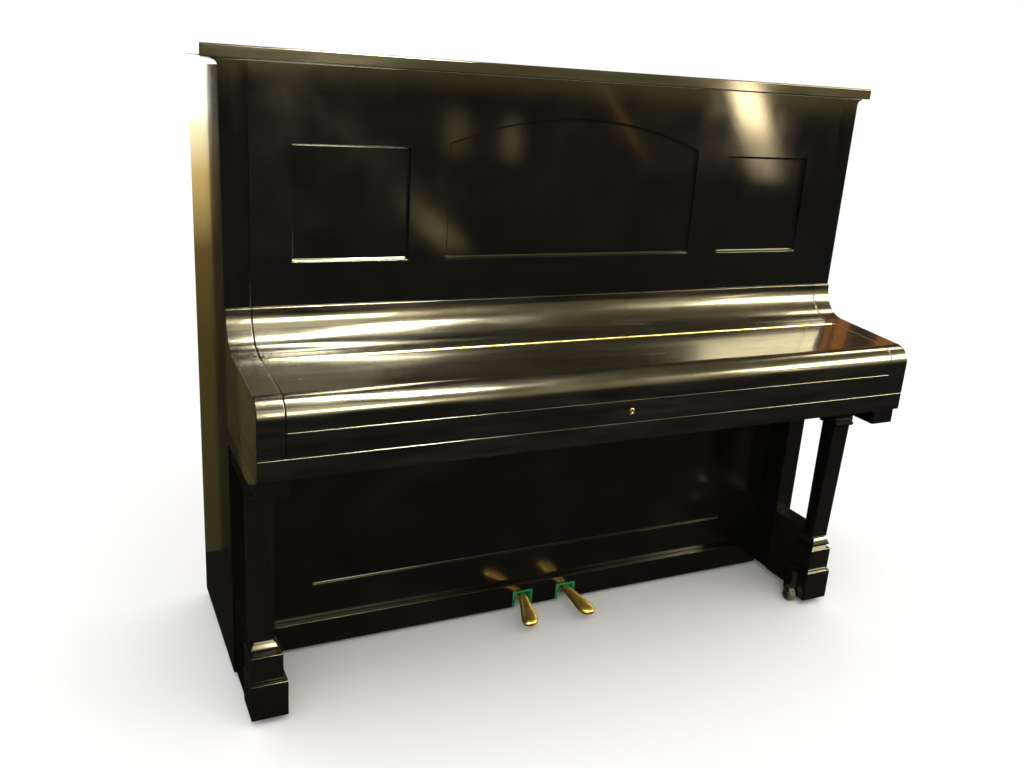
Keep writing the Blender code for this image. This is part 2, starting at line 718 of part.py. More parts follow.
def make_sharp_run(name, indices):
    """Fixed sharps, joined by a thin bar over the naturals at the back."""
    centres = [c for c in (sharp_centre(i) for i in indices) if c is not None]
    bar_z = (KEY_Z[1] + 0.0006, KEY_Z[1] + 0.0080)
    bar = block((centres[0] - SHARP_HALF, centres[-1] + SHARP_HALF), (-0.112, BAR_D - 0.001), bar_z)
    obj = finish(name, bar, "ebony")
    front = KEY_FRONT + HEAD + SHARP_CLEAR
    outline = [(front, KEY_Z[0] + 0.008), (front, KEY_Z[1] + 0.002), (front + 0.004, SHARP_TOP),
               (-0.104, SHARP_TOP), (-0.104, KEY_Z[0] + 0.008)]
    fingers = [along_x(outline, c - SHARP_HALF, c + SHARP_HALF) for c in centres]
    return combine(obj, "UNION", *fingers)


# ---------------------------------------------------------------- back

def make_back_frame():
    """Five posts between a bottom rail and the pin block."""
    top = LID_UNDER - 0.0030
    frame = finish("back_frame", block((-FIT_HALF, FIT_HALF), BACK_D, (BACK_BOTTOM, top)), "spruce")
    post = 0.075
    clear = (2 * FIT_HALF - 5 * post) / 4
    windows = []
    for i in range(4):
        left = -FIT_HALF + post + i * (post + clear)
        windows.append(block((left, left + clear), (BACK_D[0] - 0.01, BACK_D[1] + 0.01), (0.165, 1.080)))
    combine(frame, "DIFFERENCE", *windows)
    pin_block = block((-FIT_HALF, FIT_HALF), (PLATE_D[1] + PLAY, BACK_D[0] + 0.002), (1.065, top - 0.002))
    return combine(frame, "UNION", pin_block)


def make_soundboard():
    return finish("soundboard", block((-0.700, 0.700), SOUNDBOARD_D, (0.085, 1.060)), "spruce")


def make_iron_frame():
    """The cast plate: a border, and three bars that cross the open field."""
    half = 0.695
    plate = finish("iron_frame", block((-half, half), PLATE_D, (0.110, 1.285)), "gilt_iron")
    bays = [(-0.655, -0.300), (-0.265, 0.080), (0.115, 0.430), (0.465, 0.655)]
    floors = (0.180, 0.220, 0.300, 0.400)
    cutters = []
    for (left, right), floor in zip(bays, floors):
        cutters.append(block((left, right), (PLATE_D[0] - 0.01, PLATE_D[1] + 0.01), (floor, 1.060)))
    return combine(plate, "DIFFERENCE", *cutters)


def build():
    for side_name, side in (("left", -1), ("right", 1)):
        make_side(f"side_{side_name}", side)
        make_arm(f"arm_{side_name}", side)
        make_key_block(f"key_block_{side_name}", side)
        make_leg(f"leg_{side_name}", side)
        make_foot(f"foot_{side_name}", side)
        make_caster(f"front_{side_name}", *FRONT_CASTER[side_name], side, 0.080)
        make_caster(f"rear_{side_name}", *REAR_CASTER, side, 0.0)
        make_pedal(f"pedal_{side_name}", side_name)
        make_pedal_felt(f"pedal_felt_{side_name}", side_name)
    make_keybed()
    make_key_slip()
    make_fall_lock()
    make_lock_bolt()
    make_fall_back()
    make_fall_flap()
    make_fall_hinge()
    make_lid()
    make_lid_hinge()
    make_upper_panel()
    make_lower_panel()
    make_plinth()
    make_bottom_board()
    make_pedal_rod("pedal_rod_left", "left", 1.0005)
    make_pedal_rod("pedal_rod_right", "right", 0.8455)
    make_hammer_rail()
    make_damper_rail()
    make_action_frame()
    make_key_frame()
    make_natural_run("naturals_bass", range(0, MIDDLE.start))
    make_natural_run("naturals_treble", range(MIDDLE.stop, NATURALS))
    make_sharp_run("sharps_bass", range(0, MIDDLE.start - 1))
    make_sharp_run("sharps_treble", range(MIDDLE.stop, NATURALS))
    for index in MIDDLE:
        make_natural(f"key_{letter(index)}", index)
        if sharp_centre(index) is not None:
            make_sharp(f"key_{letter(index)}_sharp", index)
    make_back_frame()
    make_soundboard()
    make_iron_frame()


for existing in list(bpy.data.objects):
    bpy.data.objects.remove(existing)
build()
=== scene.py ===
"""Upright piano: the visual model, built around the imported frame.

Metres, +X to the player's right, +Y from the keyboard to the back, +Z up. Depths are counted from the
front face of the case sides, and most places are read from the frame's own nodes.
"""
import math

import bmesh
import bpy
from mathutils import Matrix, Vector


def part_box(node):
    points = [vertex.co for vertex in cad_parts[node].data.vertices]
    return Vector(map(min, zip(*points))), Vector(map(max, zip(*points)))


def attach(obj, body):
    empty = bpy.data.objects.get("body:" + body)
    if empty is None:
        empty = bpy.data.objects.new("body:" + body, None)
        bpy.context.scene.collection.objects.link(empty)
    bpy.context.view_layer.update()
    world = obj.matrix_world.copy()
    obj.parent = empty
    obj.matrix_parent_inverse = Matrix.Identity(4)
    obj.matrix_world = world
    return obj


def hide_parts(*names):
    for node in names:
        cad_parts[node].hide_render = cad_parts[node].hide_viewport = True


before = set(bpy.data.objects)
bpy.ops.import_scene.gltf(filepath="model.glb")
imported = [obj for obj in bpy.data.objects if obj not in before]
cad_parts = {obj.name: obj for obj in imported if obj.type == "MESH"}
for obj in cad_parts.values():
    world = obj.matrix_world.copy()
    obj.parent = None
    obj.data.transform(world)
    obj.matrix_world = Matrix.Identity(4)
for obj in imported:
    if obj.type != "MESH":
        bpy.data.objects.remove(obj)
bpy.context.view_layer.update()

SIDES = (("left", -1), ("right", 1))


def low(node):
    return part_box(node)[0]


def high(node):
    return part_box(node)[1]


CASE_FRONT = low("side_left").y          # front face of the case sides
INNER = high("key_slip").x               # half the space between the sides
SIDE_COVE = 0.012                        # radius of the cove moulding under the lid
OUTER = high("side_right").x - SIDE_COVE # half the width over the sides, without that moulding
LID_UNDER = low("lid").z
TOP = high("lid").z
BED_TOP = high("keybed").z
SLIP_TOP = high("key_slip").z
FALL_TOP = high("fall_back").z
FRONT = low("key_slip").y


def y_at(depth):
    return CASE_FRONT + depth


def depths(node):
    """Where a node's front and back lie."""
    return low(node).y - CASE_FRONT, high(node).y - CASE_FRONT


# ---------------------------------------------------------------- materials

class Nodes:
    """Adds nodes to a tree. Its methods return output sockets."""

    def __init__(self, tree):
        self.tree = tree

    def node(self, kind, **values):
        made = self.tree.nodes.new(kind)
        for key, value in values.items():
            setattr(made, key, value)
        return made

    def feed(self, socket, value):
        """Gives an input a number, a colour or another node's output."""
        if isinstance(value, bpy.types.NodeSocket):
            self.tree.links.new(value, socket)
        elif isinstance(value, tuple):
            socket.default_value = (*value, 1.0)
        else:
            socket.default_value = value

    def axis(self, coordinates, letter):
        """One axis of the coordinates of a kind."""
        split = self.node("ShaderNodeSeparateXYZ")
        self.feed(split.inputs["Vector"], self.node("ShaderNodeTexCoord").outputs[coordinates])
        return split.outputs[letter]

    def noise(self, scale, stretch=(1, 1, 1), detail=3.0, distortion=0.0):
        """Noise over stretched object coordinates."""
        mapping = self.node("ShaderNodeMapping")
        mapping.inputs["Scale"].default_value = stretch
        self.feed(mapping.inputs["Vector"], self.node("ShaderNodeTexCoord").outputs["Object"])
        made = self.node("ShaderNodeTexNoise")
        self.feed(made.inputs["Vector"], mapping.outputs["Vector"])
        for socket, value in (("Scale", scale), ("Detail", detail), ("Distortion", distortion)):
            self.feed(made.inputs[socket], value)
        return made.outputs["Fac"]

    def ramp(self, factor, *stops, interpolation="LINEAR"):
        """A colour ramp from (place, colour) stops."""
        made = self.node("ShaderNodeValToRGB")
        made.color_ramp.interpolation = interpolation
        elements = made.color_ramp.elements
        while len(elements) < len(stops):
            elements.new(0.5)
        for element, (place, colour) in zip(elements, stops):
            element.position = place
            element.color = (*colour, 1.0)
        self.feed(made.inputs["Fac"], factor)
        return made.outputs["Color"]

    def spread(self, factor, start, end, floor=0.3, ceiling=0.7):
        """A number that runs from start to end as the factor runs from floor to ceiling."""
        made = self.node("ShaderNodeMapRange")
        for socket, value in (("From Min", floor), ("From Max", ceiling), ("To Min", start), ("To Max", end)):
            self.feed(made.inputs[socket], value)
        self.feed(made.inputs["Value"], factor)
        return made.outputs["Result"]

    def mix(self, factor, first, second):
        """One colour or another, by a factor."""
        made = self.node("ShaderNodeMix", data_type="RGBA")
        for socket, value in ((0, factor), (6, first), (7, second)):
            self.feed(made.inputs[socket], value)
        return made.outputs[2]

    def combine(self, operation, first, second, kind="ShaderNodeMath"):
        made = self.node(kind, operation=operation)
        self.feed(made.inputs[0], first)
        self.feed(made.inputs[1], second)
        return made.outputs[0]

    def bump(self, height, strength, distance, after=None):
        made = self.node("ShaderNodeBump")
        for socket, value in (("Strength", strength), ("Distance", distance), ("Height", height)):
            self.feed(made.inputs[socket], value)
        if after is not None:
            self.feed(made.inputs["Normal"], after)
        return made.outputs["Normal"]


class Look(Nodes):
    """One procedural material and the slot it stands for."""

    def __init__(self, name, slot, base, roughness, metallic=0.0, **fixed):
        self.material = bpy.data.materials.new(name)
        self.material.use_nodes = True
        super().__init__(self.material.node_tree)
        self.shader = self.tree.nodes["Principled BSDF"]
        self.slot = slot
        self.set("Base Color", base)
        self.set("Roughness", roughness)
        self.set("Metallic", metallic)
        for socket, value in fixed.items():
            self.set(socket.replace("_", " "), value)

    def set(self, socket, value):
        self.feed(self.shader.inputs[socket], value)


def mottled(name, slot, base, roughness, metallic, noise, tones, gloss=None, bump=None, **fixed):
    """A material whose colour, gloss and surface all follow one noise."""
    look = Look(name, slot, base, roughness, metallic, **fixed)
    pattern = look.noise(*noise)
    look.set("Base Color", look.ramp(pattern, *tones))
    if gloss:
        look.set("Roughness", look.spread(pattern, *gloss))
    if bump:
        look.set("Normal", look.bump(pattern, *bump))
    return look


BLACK = (0.0022, 0.0019, 0.0016)
BLACK_WORN = (0.0050, 0.0043, 0.0032)


def lacquer(name, stretch, gloss, dark=BLACK, pale=BLACK_WORN, specular=None):
    """Polished black: a film worn hazy by cloths in places, with faint streaks along the rubbing."""
    look = Look(name, "black_lacquer", dark, 0.1, Coat_Weight=0.35, Coat_Roughness=0.03, Coat_IOR=1.5)
    cloud = look.noise(2.2, (1, 1, 1.4), 5, 0.9)
    streak = look.noise(6.0, stretch, 4, 0.3)
    smudge = look.combine("MULTIPLY", cloud, streak)
    look.set("Base Color", look.ramp(smudge, (0.16, dark), (0.42, pale)))
    if specular is not None:             # dull places, without the clear film
        look.set("Coat Weight", 0.0)
        look.set("Specular IOR Level", specular)
    look.set("Roughness", look.spread(smudge, *gloss, 0.12, 0.42))
    wave = look.bump(look.noise(1.0, tuple(s * 1.6 for s in stretch), 2), 0.35, 0.0006)
    look.set("Normal", look.bump(look.noise(40.0, stretch, 2), 0.12, 0.0002, wave))
    look.set("Coat Normal", wave)
    return look


def brass_look():
    brass = Look("brass_polished", "brass", (0.80, 0.58, 0.24), 0.2, 1.0)
    tarnish = brass.noise(35.0, (1, 1, 1), 6, 0.6)
    brass.set("Base Color", brass.ramp(tarnish, (0.30, (0.36, 0.25, 0.07)), (0.48, (0.62, 0.45, 0.14)),
                                       (0.80, (0.78, 0.62, 0.26))))
    brass.set("Roughness", brass.spread(tarnish, 0.42, 0.24))
    brass.set("Normal", brass.bump(brass.noise(420.0, (1, 0.12, 1), 2), 0.10, 0.0003))
    return brass


def green_felt_look():
    felt = Look("felt_green", "green_felt", (0.005, 0.20, 0.065), 0.95, Sheen_Weight=0.08,
                Sheen_Roughness=0.5)
    felt.set("Specular IOR Level", 0.1)
    fuzz = felt.noise(700.0)
    both = felt.combine("MULTIPLY", fuzz, felt.noise(60.0))
    felt.set("Base Color", felt.ramp(both, (0.12, (0.001, 0.085, 0.024)), (0.40, (0.006, 0.27, 0.085))))
    felt.set("Normal", felt.bump(fuzz, 0.8, 0.0008))
    return felt


def ivory_look():
    ivory = Look("ivory_key", "ivory", (0.86, 0.81, 0.66), 0.28, Coat_Weight=0.3, Coat_Roughness=0.12)
    grain = ivory.noise(60.0, (9, 0.5, 1), 4, 0.3)
    tone = ivory.combine("MULTIPLY", grain, ivory.noise(14.0))
    ivory.set("Base Color", ivory.ramp(tone, (0.12, (0.70, 0.60, 0.40)), (0.42, (0.88, 0.84, 0.72))))
    ivory.set("Roughness", ivory.spread(grain, 0.22, 0.36))
    return ivory


def gilt_look():
    gilt = Look("iron_gilt", "gilt_iron", (0.50, 0.36, 0.14), 0.42, 0.75)
    cast = gilt.noise(240.0, (1, 1, 1), 4)
    dust = gilt.noise(7.0, (1, 1, 1), 5, 0.5)
    gilt.set("Base Color", gilt.ramp(dust, (0.30, (0.34, 0.23, 0.09)), (0.62, (0.56, 0.41, 0.18))))
    gilt.set("Roughness", gilt.spread(dust, 0.52, 0.36))
    gilt.set("Normal", gilt.bump(cast, 0.35, 0.0008))
    return gilt


def wood_look(name, slot, grain_axis, tones, shine):
    """Bare wood, its grain along one axis."""
    wood = Look(f"wood_{name}", slot, tones[1], shine)
    stretch = tuple(0.06 if axis == grain_axis else 1.0 for axis in range(3))
    rings = wood.noise(55.0, stretch, 6, 0.5)
    fibre = wood.noise(420.0, stretch, 2)
    tone = wood.combine("ADD", wood.combine("MULTIPLY", rings, 0.75), wood.combine("MULTIPLY", fibre, 0.25))
    wood.set("Base Color", wood.ramp(tone, (0.36, tones[0]), (0.50, tones[1]), (0.64, tones[2])))
    wood.set("Roughness", wood.spread(rings, shine - 0.08, shine + 0.16))
    wood.set("Normal", wood.bump(fibre, 0.2, 0.0004))
    return wood


EVEN = (1, 1, 1)                         # a noise that runs alike in all directions
ALONG = (1.0, 9.0, 9.0)                  # one drawn out along X
CLOTH = (1.5, 1.5, 1.5)

LOOKS = {
    "front": lacquer("lacquer_front", CLOTH, (0.045, 0.13)),
    "curved": lacquer("lacquer_curved", ALONG, (0.14, 0.28)),
    "upright": lacquer("lacquer_upright", (6.0, 6.0, 1.2), (0.03, 0.10)),
    "low": lacquer("lacquer_low", CLOTH, (0.13, 0.24), specular=0.45),
    "worn": lacquer("lacquer_worn", ALONG, (0.42, 0.56), (0.0040, 0.0035, 0.0028), (0.0090, 0.0080, 0.0062),
                    0.02),
    # the lid's lacquer: its olive-brown base colour is partly painted reflection of the room, partly worn
    # polish
    "edge": lacquer("lacquer_lid_sheen_and_wear", ALONG, (0.08, 0.17), (0.010, 0.008, 0.004), (0.030, 0.026, 0.013)),
    "brass": brass_look(),
    "hinge": mottled(
        "brass_hinge", "brass", (0.86, 0.66, 0.26), 0.25, 1.0, (60.0, EVEN, 4),
        ((0.32, (0.62, 0.47, 0.20)), (0.55, (0.92, 0.78, 0.42))), gloss=(0.36, 0.20)),
    "felt": green_felt_look(),
    "red_felt": mottled(
        "felt_red", "green_felt", (0.30, 0.02, 0.02), 0.95, 0.0, (800.0, EVEN, 3),
        ((0.30, (0.16, 0.008, 0.010)), (0.65, (0.40, 0.028, 0.022))), bump=(0.8, 0.0006),
        Sheen_Weight=0.5, Sheen_Roughness=0.5),
    "white_felt": mottled(
        "felt_white", "green_felt", (0.74, 0.71, 0.62), 0.95, 0.0, (500.0, EVEN, 4),
        ((0.30, (0.52, 0.49, 0.40)), (0.65, (0.78, 0.76, 0.68))), bump=(0.7, 0.0006),
        Sheen_Weight=0.4, Sheen_Roughness=0.5),
    "ivory": ivory_look(),
    "ebony": mottled(
        "ebony_key", "ebony", (0.02, 0.018, 0.016), 0.3, 0.0, (90.0, (6, 0.5, 6), 4),
        ((0.30, (0.008, 0.007, 0.006)), (0.70, (0.040, 0.034, 0.028))), (0.22, 0.45), (0.15, 0.0003)),
    "spruce": wood_look(
        "spruce", "spruce", 2, ((0.17, 0.088, 0.036), (0.27, 0.150, 0.066), (0.34, 0.205, 0.100)), 0.52),
    "board": wood_look(
        "board", "spruce", 2, ((0.24, 0.120, 0.042), (0.35, 0.190, 0.072), (0.42, 0.250, 0.108)), 0.36),
    "beech": wood_look(
        "beech", "beech", 0, ((0.16, 0.084, 0.038), (0.26, 0.150, 0.072), (0.33, 0.200, 0.105)), 0.55),
    "maple": wood_look(
        "maple", "beech", 1, ((0.34, 0.225, 0.115), (0.48, 0.340, 0.190), (0.56, 0.420, 0.255)), 0.50),
    "gilt": gilt_look(),
    "steel": mottled(
        "steel_bare", "steel", (0.50, 0.50, 0.49), 0.32, 1.0, (160.0, EVEN, 4),
        ((0.30, (0.34, 0.33, 0.31)), (0.62, (0.60, 0.60, 0.59))), gloss=(0.42, 0.26)),
    "copper": mottled(
        "string_copper", "steel", (0.62, 0.30, 0.15), 0.35, 1.0, (900.0, (0.2, 1, 1), 2),
        ((0.30, (0.40, 0.18, 0.08)), (0.62, (0.72, 0.38, 0.20))), bump=(0.4, 0.0003)),
    "iron": mottled(
        "iron_caster", "caster_iron", (0.14, 0.15, 0.11), 0.6, 0.2, (110.0, EVEN, 6, 0.4),
        ((0.34, (0.045, 0.045, 0.034)), (0.56, (0.13, 0.14, 0.10)), (0.80, (0.22, 0.24, 0.18))),
        (0.78, 0.52), (0.4, 0.0006)),
    "black_iron": mottled(
        "iron_black", "caster_iron", (0.012, 0.011, 0.010), 0.5, 0.3, (130.0, EVEN, 5, 0.4),
        ((0.34, (0.006, 0.005, 0.005)), (0.70, (0.035, 0.032, 0.027))), (0.62, 0.38), (0.4, 0.0005)),
    # painted shade: near-black matte colour for the keyhole's opening, where the real lock shows only shade
    "dark": mottled(
        "keyhole_painted_shade", "black_lacquer", (0.002, 0.002, 0.002), 0.9, 0.0, (90.0,),
        ((0.3, (0.001, 0.001, 0.001)), (0.7, (0.004, 0.003, 0.003)))),
}


# ---------------------------------------------------------------- making pieces

def linked(name, data):
    obj = bpy.data.objects.new(name, data)
    bpy.context.scene.collection.objects.link(obj)
    return obj


def round_edges(obj, width, segments, angle):
    rounding = obj.modifiers.new("rounding", "BEVEL")
    rounding.width = width
    rounding.segments = segments
    rounding.limit_method = "ANGLE"
    rounding.angle_limit = math.radians(angle)


def flatten_faces(obj):
    obj.modifiers.new("flat_faces", "WEIGHTED_NORMAL").weight = 100


def piece(name, bm, look, body="case", stands_for=None, bevel=0.0, segments=3, sharp=30):
    """Turns a bmesh in frame coordinates into a smooth piece with rounded edges that rides on a body."""
    bmesh.ops.recalc_face_normals(bm, faces=bm.faces)
    mesh = bpy.data.meshes.new(name)
    bm.to_mesh(mesh)
    bm.free()
    mesh.materials.append(LOOKS[look].material)
    obj = linked(name, mesh)
    mesh.shade_smooth()
    if bevel:
        round_edges(obj, bevel, segments, sharp)
        flatten_faces(obj)
    else:
        mesh.set_sharp_from_angle(angle=math.radians(sharp))
    if stands_for:
        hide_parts(stands_for)
    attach(obj, body)
    return obj


def keep(node, look, bevel=0.0, segments=2):
    """A CAD node that shows as it is, with a finer material and rounded edges."""
    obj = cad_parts[node]
    obj.data.materials.clear()
    obj.data.materials.append(LOOKS[look].material)
    if bevel:
        obj.modifiers.new("weld", "WELD").merge_threshold = 0.00002
        round_edges(obj, bevel, segments, 35)


def skinned(rings):
    """A closed solid through rings of points, all rings with the same number of points."""
    bm = bmesh.new()
    rows = [[bm.verts.new(point) for point in ring] for ring in rings]
    bm.faces.new(list(reversed(rows[0])))
    bm.faces.new(rows[-1])
    for near, far in zip(rows, rows[1:]):
        for i in range(len(near)):
            j = (i + 1) % len(near)
            bm.faces.new([near[i], near[j], far[j], far[i]])
    return bm


def extruded(outline, start, end, place):
    return skinned([[place(a, b, c) for a, b in outline] for c in (start, end)])


def along_x(outline, x0, x1):
    """Prism along X from (depth, height) points."""
    return extruded(outline, x0, x1, lambda d, z, x: (x, y_at(d), z))


def along_y(outline, d0, d1):
    """Prism along Y from (x, height) points."""
    return extruded(outline, d0, d1, lambda x, z, d: (x, y_at(d), z))


def along_z(outline, z0, z1):
    """Prism along Z from (x, depth) points."""
    return extruded(outline, z0, z1, lambda x, d, z: (x, y_at(d), z))


def rectangle(a0, a1, b0, b1):
    return [(a0, b0), (a1, b0), (a1, b1), (a0, b1)]


def block(x, d, z):
    return along_z(rectangle(x[0], x[1], d[0], d[1]), z[0], z[1])


def arc(centre, radius, start, end, steps):
    points = []
    for i in range(steps + 1):
        angle = math.radians(start + (end - start) * i / steps)
        points.append((centre[0] + radius * math.cos(angle), centre[1] + radius * math.sin(angle)))
    return points


def together(*parts):
    """One bmesh from several."""
    bm = parts[0]
    for part in parts[1:]:
        spare = bpy.data.meshes.new("spare")
        part.to_mesh(spare)
        part.free()
        bm.from_mesh(spare)
        bpy.data.meshes.remove(spare)
    return bm


def rod(start, end, radius, sides=16, cap=0.0):
    """A round bar between two points, with its ends rounded by cap."""
    start = Vector(start)
    end = Vector(end)
    axis = end - start
    turn = axis.to_track_quat("Z", "Y").to_matrix()
    length = axis.length
    stations = [(0.0, radius - cap), (cap, radius), (length - cap, radius), (length, radius - cap)]
    if not cap:
        stations = [(0.0, radius), (length, radius)]
    return lathe(stations, sides, lambda p: start + turn @ p)


def lathe(stations, sides, place):
    """A closed turned solid from (height, radius) stations."""
    turns = [2 * math.pi * i / sides for i in range(sides)]
    circle = [(math.cos(a), math.sin(a)) for a in turns]
    return skinned([[place(Vector((r * c, r * s, z))) for c, s in circle] for z, r in stations])


def mirrored(side, inner, outer):
    return (inner, outer) if side > 0 else (-outer, -inner)


# ---------------------------------------------------------------- case

CLEAR = 0.0003                           # a hair's breadth left between two parts that touch
COVE_R = 0.070
COVE_FOOT = (-0.076, 0.758)              # depth and height where the cove runs out into the shelf
NOSE_R = 0.040
NOSE_TOP = (-0.258, 0.7455)              # and where the shelf turns down over the nose
REACH = CASE_FRONT - FRONT               # how far the arms and the fall stand out from the case
FALL_T = 0.016
HINGE = (-0.100, COVE_FOOT[1] - 0.024 / 0.182 * 0.0125)
KNUCKLE_R = 0.0017
KEYHOLE_Z = 0.658


def shelf_height(depth):
    share = (depth - COVE_FOOT[0]) / (NOSE_TOP[0] - COVE_FOOT[0])
    return COVE_FOOT[1] + share * (NOSE_TOP[1] - COVE_FOOT[1])


def fall_curve(first_depth, last_depth):
    """The outline shared by the arms and the fall, from the cove at the back to the nose in front."""
    centre = (COVE_FOOT[0], COVE_FOOT[1] + COVE_R)
    points = [(centre[0] + COVE_R, FALL_TOP)]
    points += arc(centre, COVE_R, 0, -90, 36)
    points += arc((NOSE_TOP[0], NOSE_TOP[1] - NOSE_R), NOSE_R, 90, 180, 28)
    return [p for p in points if last_depth - 1e-6 <= p[0] <= first_depth + 1e-6]


def make_sides():
    for name, side in SIDES:
        cove = SIDE_COVE
        top = LID_UNDER - CLEAR
        foot = low("side_left").z
        inner = INNER + 0.0005
        outline = [(inner, foot), (OUTER, foot)]
        outline += arc((OUTER + cove, top - 0.003 - cove), cove, 180, 90, 14)
        outline += [(OUTER + cove, top), (inner, top)]
        outline = [(side * x, z) for x, z in outline]
        body = along_y(outline, *depths("side_left"))
        piece(f"case_side_{name}", body, "upright", "case", f"side_{name}", 0.0016)


def make_arms():
    for name, side in SIDES:
        outline = fall_curve(0, -REACH)
        outline += [(-REACH, BED_TOP + CLEAR), (-CLEAR, BED_TOP + CLEAR), (-CLEAR, FALL_TOP)]
        x = mirrored(side, INNER + 0.0005, OUTER)
        piece(f"fall_arm_{name}", along_x(outline, *x), "curved", "case", f"arm_{name}", 0.0022, 4, 40)


def make_keybed():
    front = -REACH
    side_front = -CLEAR
    back = depths("keybed")[1]
    outline = [
        (-OUTER, front), (OUTER, front), (OUTER, side_front), (INNER, side_front),
        (INNER, back), (-INNER, back), (-INNER, side_front), (-OUTER, side_front),
    ]
    piece("keybed_board", along_z(outline, low("keybed").z, BED_TOP), "curved", "case", "keybed", 0.0020, 4)


def cut(obj, *cutters):
    """Takes bmesh shapes away from a piece, before its edges are rounded."""
    rounding = obj.modifiers["rounding"]
    width, segments = rounding.width, rounding.segments
    obj.modifiers.clear()
    tools = []
    for i, bm in enumerate(cutters):
        bmesh.ops.recalc_face_normals(bm, faces=bm.faces)
        mesh = bpy.data.meshes.new("cutter")
        bm.to_mesh(mesh)
        bm.free()
        tool = linked(f"cutter_{i}", mesh)
        modifier = obj.modifiers.new(f"cut_{i}", "BOOLEAN")
        modifier.operation = "DIFFERENCE"
        modifier.object = tool
        modifier.solver = "EXACT"
        tools.append(tool)
    bpy.context.view_layer.update()
    graph = bpy.context.evaluated_depsgraph_get()
    made = bpy.data.meshes.new_from_object(obj.evaluated_get(graph))
    obj.modifiers.clear()
    obj.data = made
    for tool in tools:
        bpy.data.objects.remove(tool)
    made.shade_smooth()
    round_edges(obj, width, segments, 30)
    flatten_faces(obj)


def make_key_slip():
    slip = piece(
        "key_slip_rail",
        block((-INNER, INNER), (-REACH, -REACH + 0.018), (BED_TOP + CLEAR, SLIP_TOP)),
        "curved", "case", "key_slip", 0.0028, 5,
    )
    lock_low = low("fall_lock")
    lock_high = high("fall_lock")
    pocket = block(
        (lock_low.x - 0.0005, lock_high.x + 0.0005),
        (-REACH + 0.0038, 0.0),
        (lock_low.z - 0.0005, SLIP_TOP + 0.02),
    )
    hole = rod((0, y_at(-REACH - 0.01), KEYHOLE_Z), (0, y_at(-REACH + 0.01), KEYHOLE_Z), 0.0060, 24)
    cut(slip, pocket, hole)


def make_lock():
    """The brass case let into the slip, and the round keyhole that shows in front, painted shade in its
    opening.
    """
    keep("fall_lock", "brass", 0.0002)
    keep("lock_bolt", "steel", 0.0004)
    front = y_at(-REACH)
    bush = lathe(
        [(0.0, 0.0060), (0.0006, 0.0060), (0.0009, 0.0055), (0.0009, 0.0037), (0.0003, 0.0031)],
        32, lambda p: Vector((p.x, front + 0.0009 - p.z, KEYHOLE_Z + p.y)),
    )
    piece("keyhole_bush", bush, "brass")
    # the keyhole's opening: a near-black matte piece stands in for the shade inside the lock (painted shade)
    mouth = lathe([(0, 0.0016), (0.0006, 0.0016)], 20,
                  lambda p: Vector((p.x, front + 0.001 - p.z, 0.6592 + p.y)))
    slot = block((-0.0008, 0.0008), (-REACH + 0.0004, -REACH + 0.0010), (0.6545, 0.6590))
    piece("keyhole_mouth", together(mouth, slot), "dark")


def make_fall():
    """The fixed cove and the flap, with the brass hinge between them."""
    front = HINGE[0] + KNUCKLE_R + 0.0006
    outer = fall_curve(0, COVE_FOOT[0]) + [(front, shelf_height(front))]
    centre = (COVE_FOOT[0], COVE_FOOT[1] + COVE_R)
    inner = [(front, shelf_height(front) - FALL_T)] + arc(centre, COVE_R + FALL_T, -90, 0, 24)
    inner += [(centre[0] + COVE_R + FALL_T, FALL_TOP)]
    piece("fall_cove", along_x(outer + inner, -INNER, INNER), "curved", "case", "fall_back", 0.0016, 4, 40)

    rear = HINGE[0] - KNUCKLE_R - 0.0006
    outer = [(rear, shelf_height(rear))] + fall_curve(NOSE_TOP[0] + 0.001, -REACH)
    outer += [(-REACH, SLIP_TOP + 0.0005)]
    inner = [(-REACH + FALL_T, SLIP_TOP + 0.0005)]
    inner += arc((NOSE_TOP[0], NOSE_TOP[1] - NOSE_R), NOSE_R - FALL_T, 180, 90, 12)
    inner += [(rear, shelf_height(rear) - FALL_T)]
    flap = piece("fall_front", along_x(outer + inner, -INNER, INNER), "curved", "fall_flap", "fall_flap",
                 0.0016, 4, 40)
    near, far = depths("lock_bolt")
    mortise = block((low("lock_bolt").x - 0.002, high("lock_bolt").x + 0.002),
                    (near - 0.001, far + 0.001), (SLIP_TOP - 0.005, SLIP_TOP + 0.009))
    cut(flap, mortise)


def make_fall_hinge():
    """A continuous hinge: knuckles that belong in turn to the fixed leaf and to the flap's leaf."""
    pitch = 0.0254
    count = int(2 * INNER / pitch)
    start = -count * pitch / 2
    fixed = []
    moving = []
    for i in range(count):
        x0 = start + i * pitch + 0.0002
        x1 = x0 + pitch - 0.0004
        knuckle = rod((x0, y_at(HINGE[0]), HINGE[1]), (x1, y_at(HINGE[0]), HINGE[1]), KNUCKLE_R, 14)
        (fixed if i % 2 == 0 else moving).append(knuckle)
    leaf = HINGE[1] - FALL_T - 0.001
    fixed.append(block((-INNER, INNER), (HINGE[0] - 0.0005, HINGE[0] + 0.0005), (leaf, HINGE[1])))
    piece("hinge_fixed", together(*fixed), "hinge", "case", "fall_hinge")
    piece("hinge_moving", together(*moving), "hinge", "fall_flap")


def make_lid():
    """The lid, and on it the thin worn skin of its top face, a rim's width inside the rounded edges."""
    left, right = low("lid").x, high("lid").x
    near, far = depths("lid")
    skin = 0.0003
    rim = 0.0026
    # the board's olive-brown colour is partly painted room reflection, partly worn polish
    piece("lid_board", block((left, right), (near, far), (LID_UNDER, TOP - skin)), "edge", "lid", "lid",
          0.0022, 4)
    worn = block((left + rim, right - rim), (near + rim, far - rim), (TOP - 2 * skin, TOP))
    piece("lid_top", worn, "worn", "lid")
    keep("lid_hinge", "hinge")


# ---------------------------------------------------------------- front panels

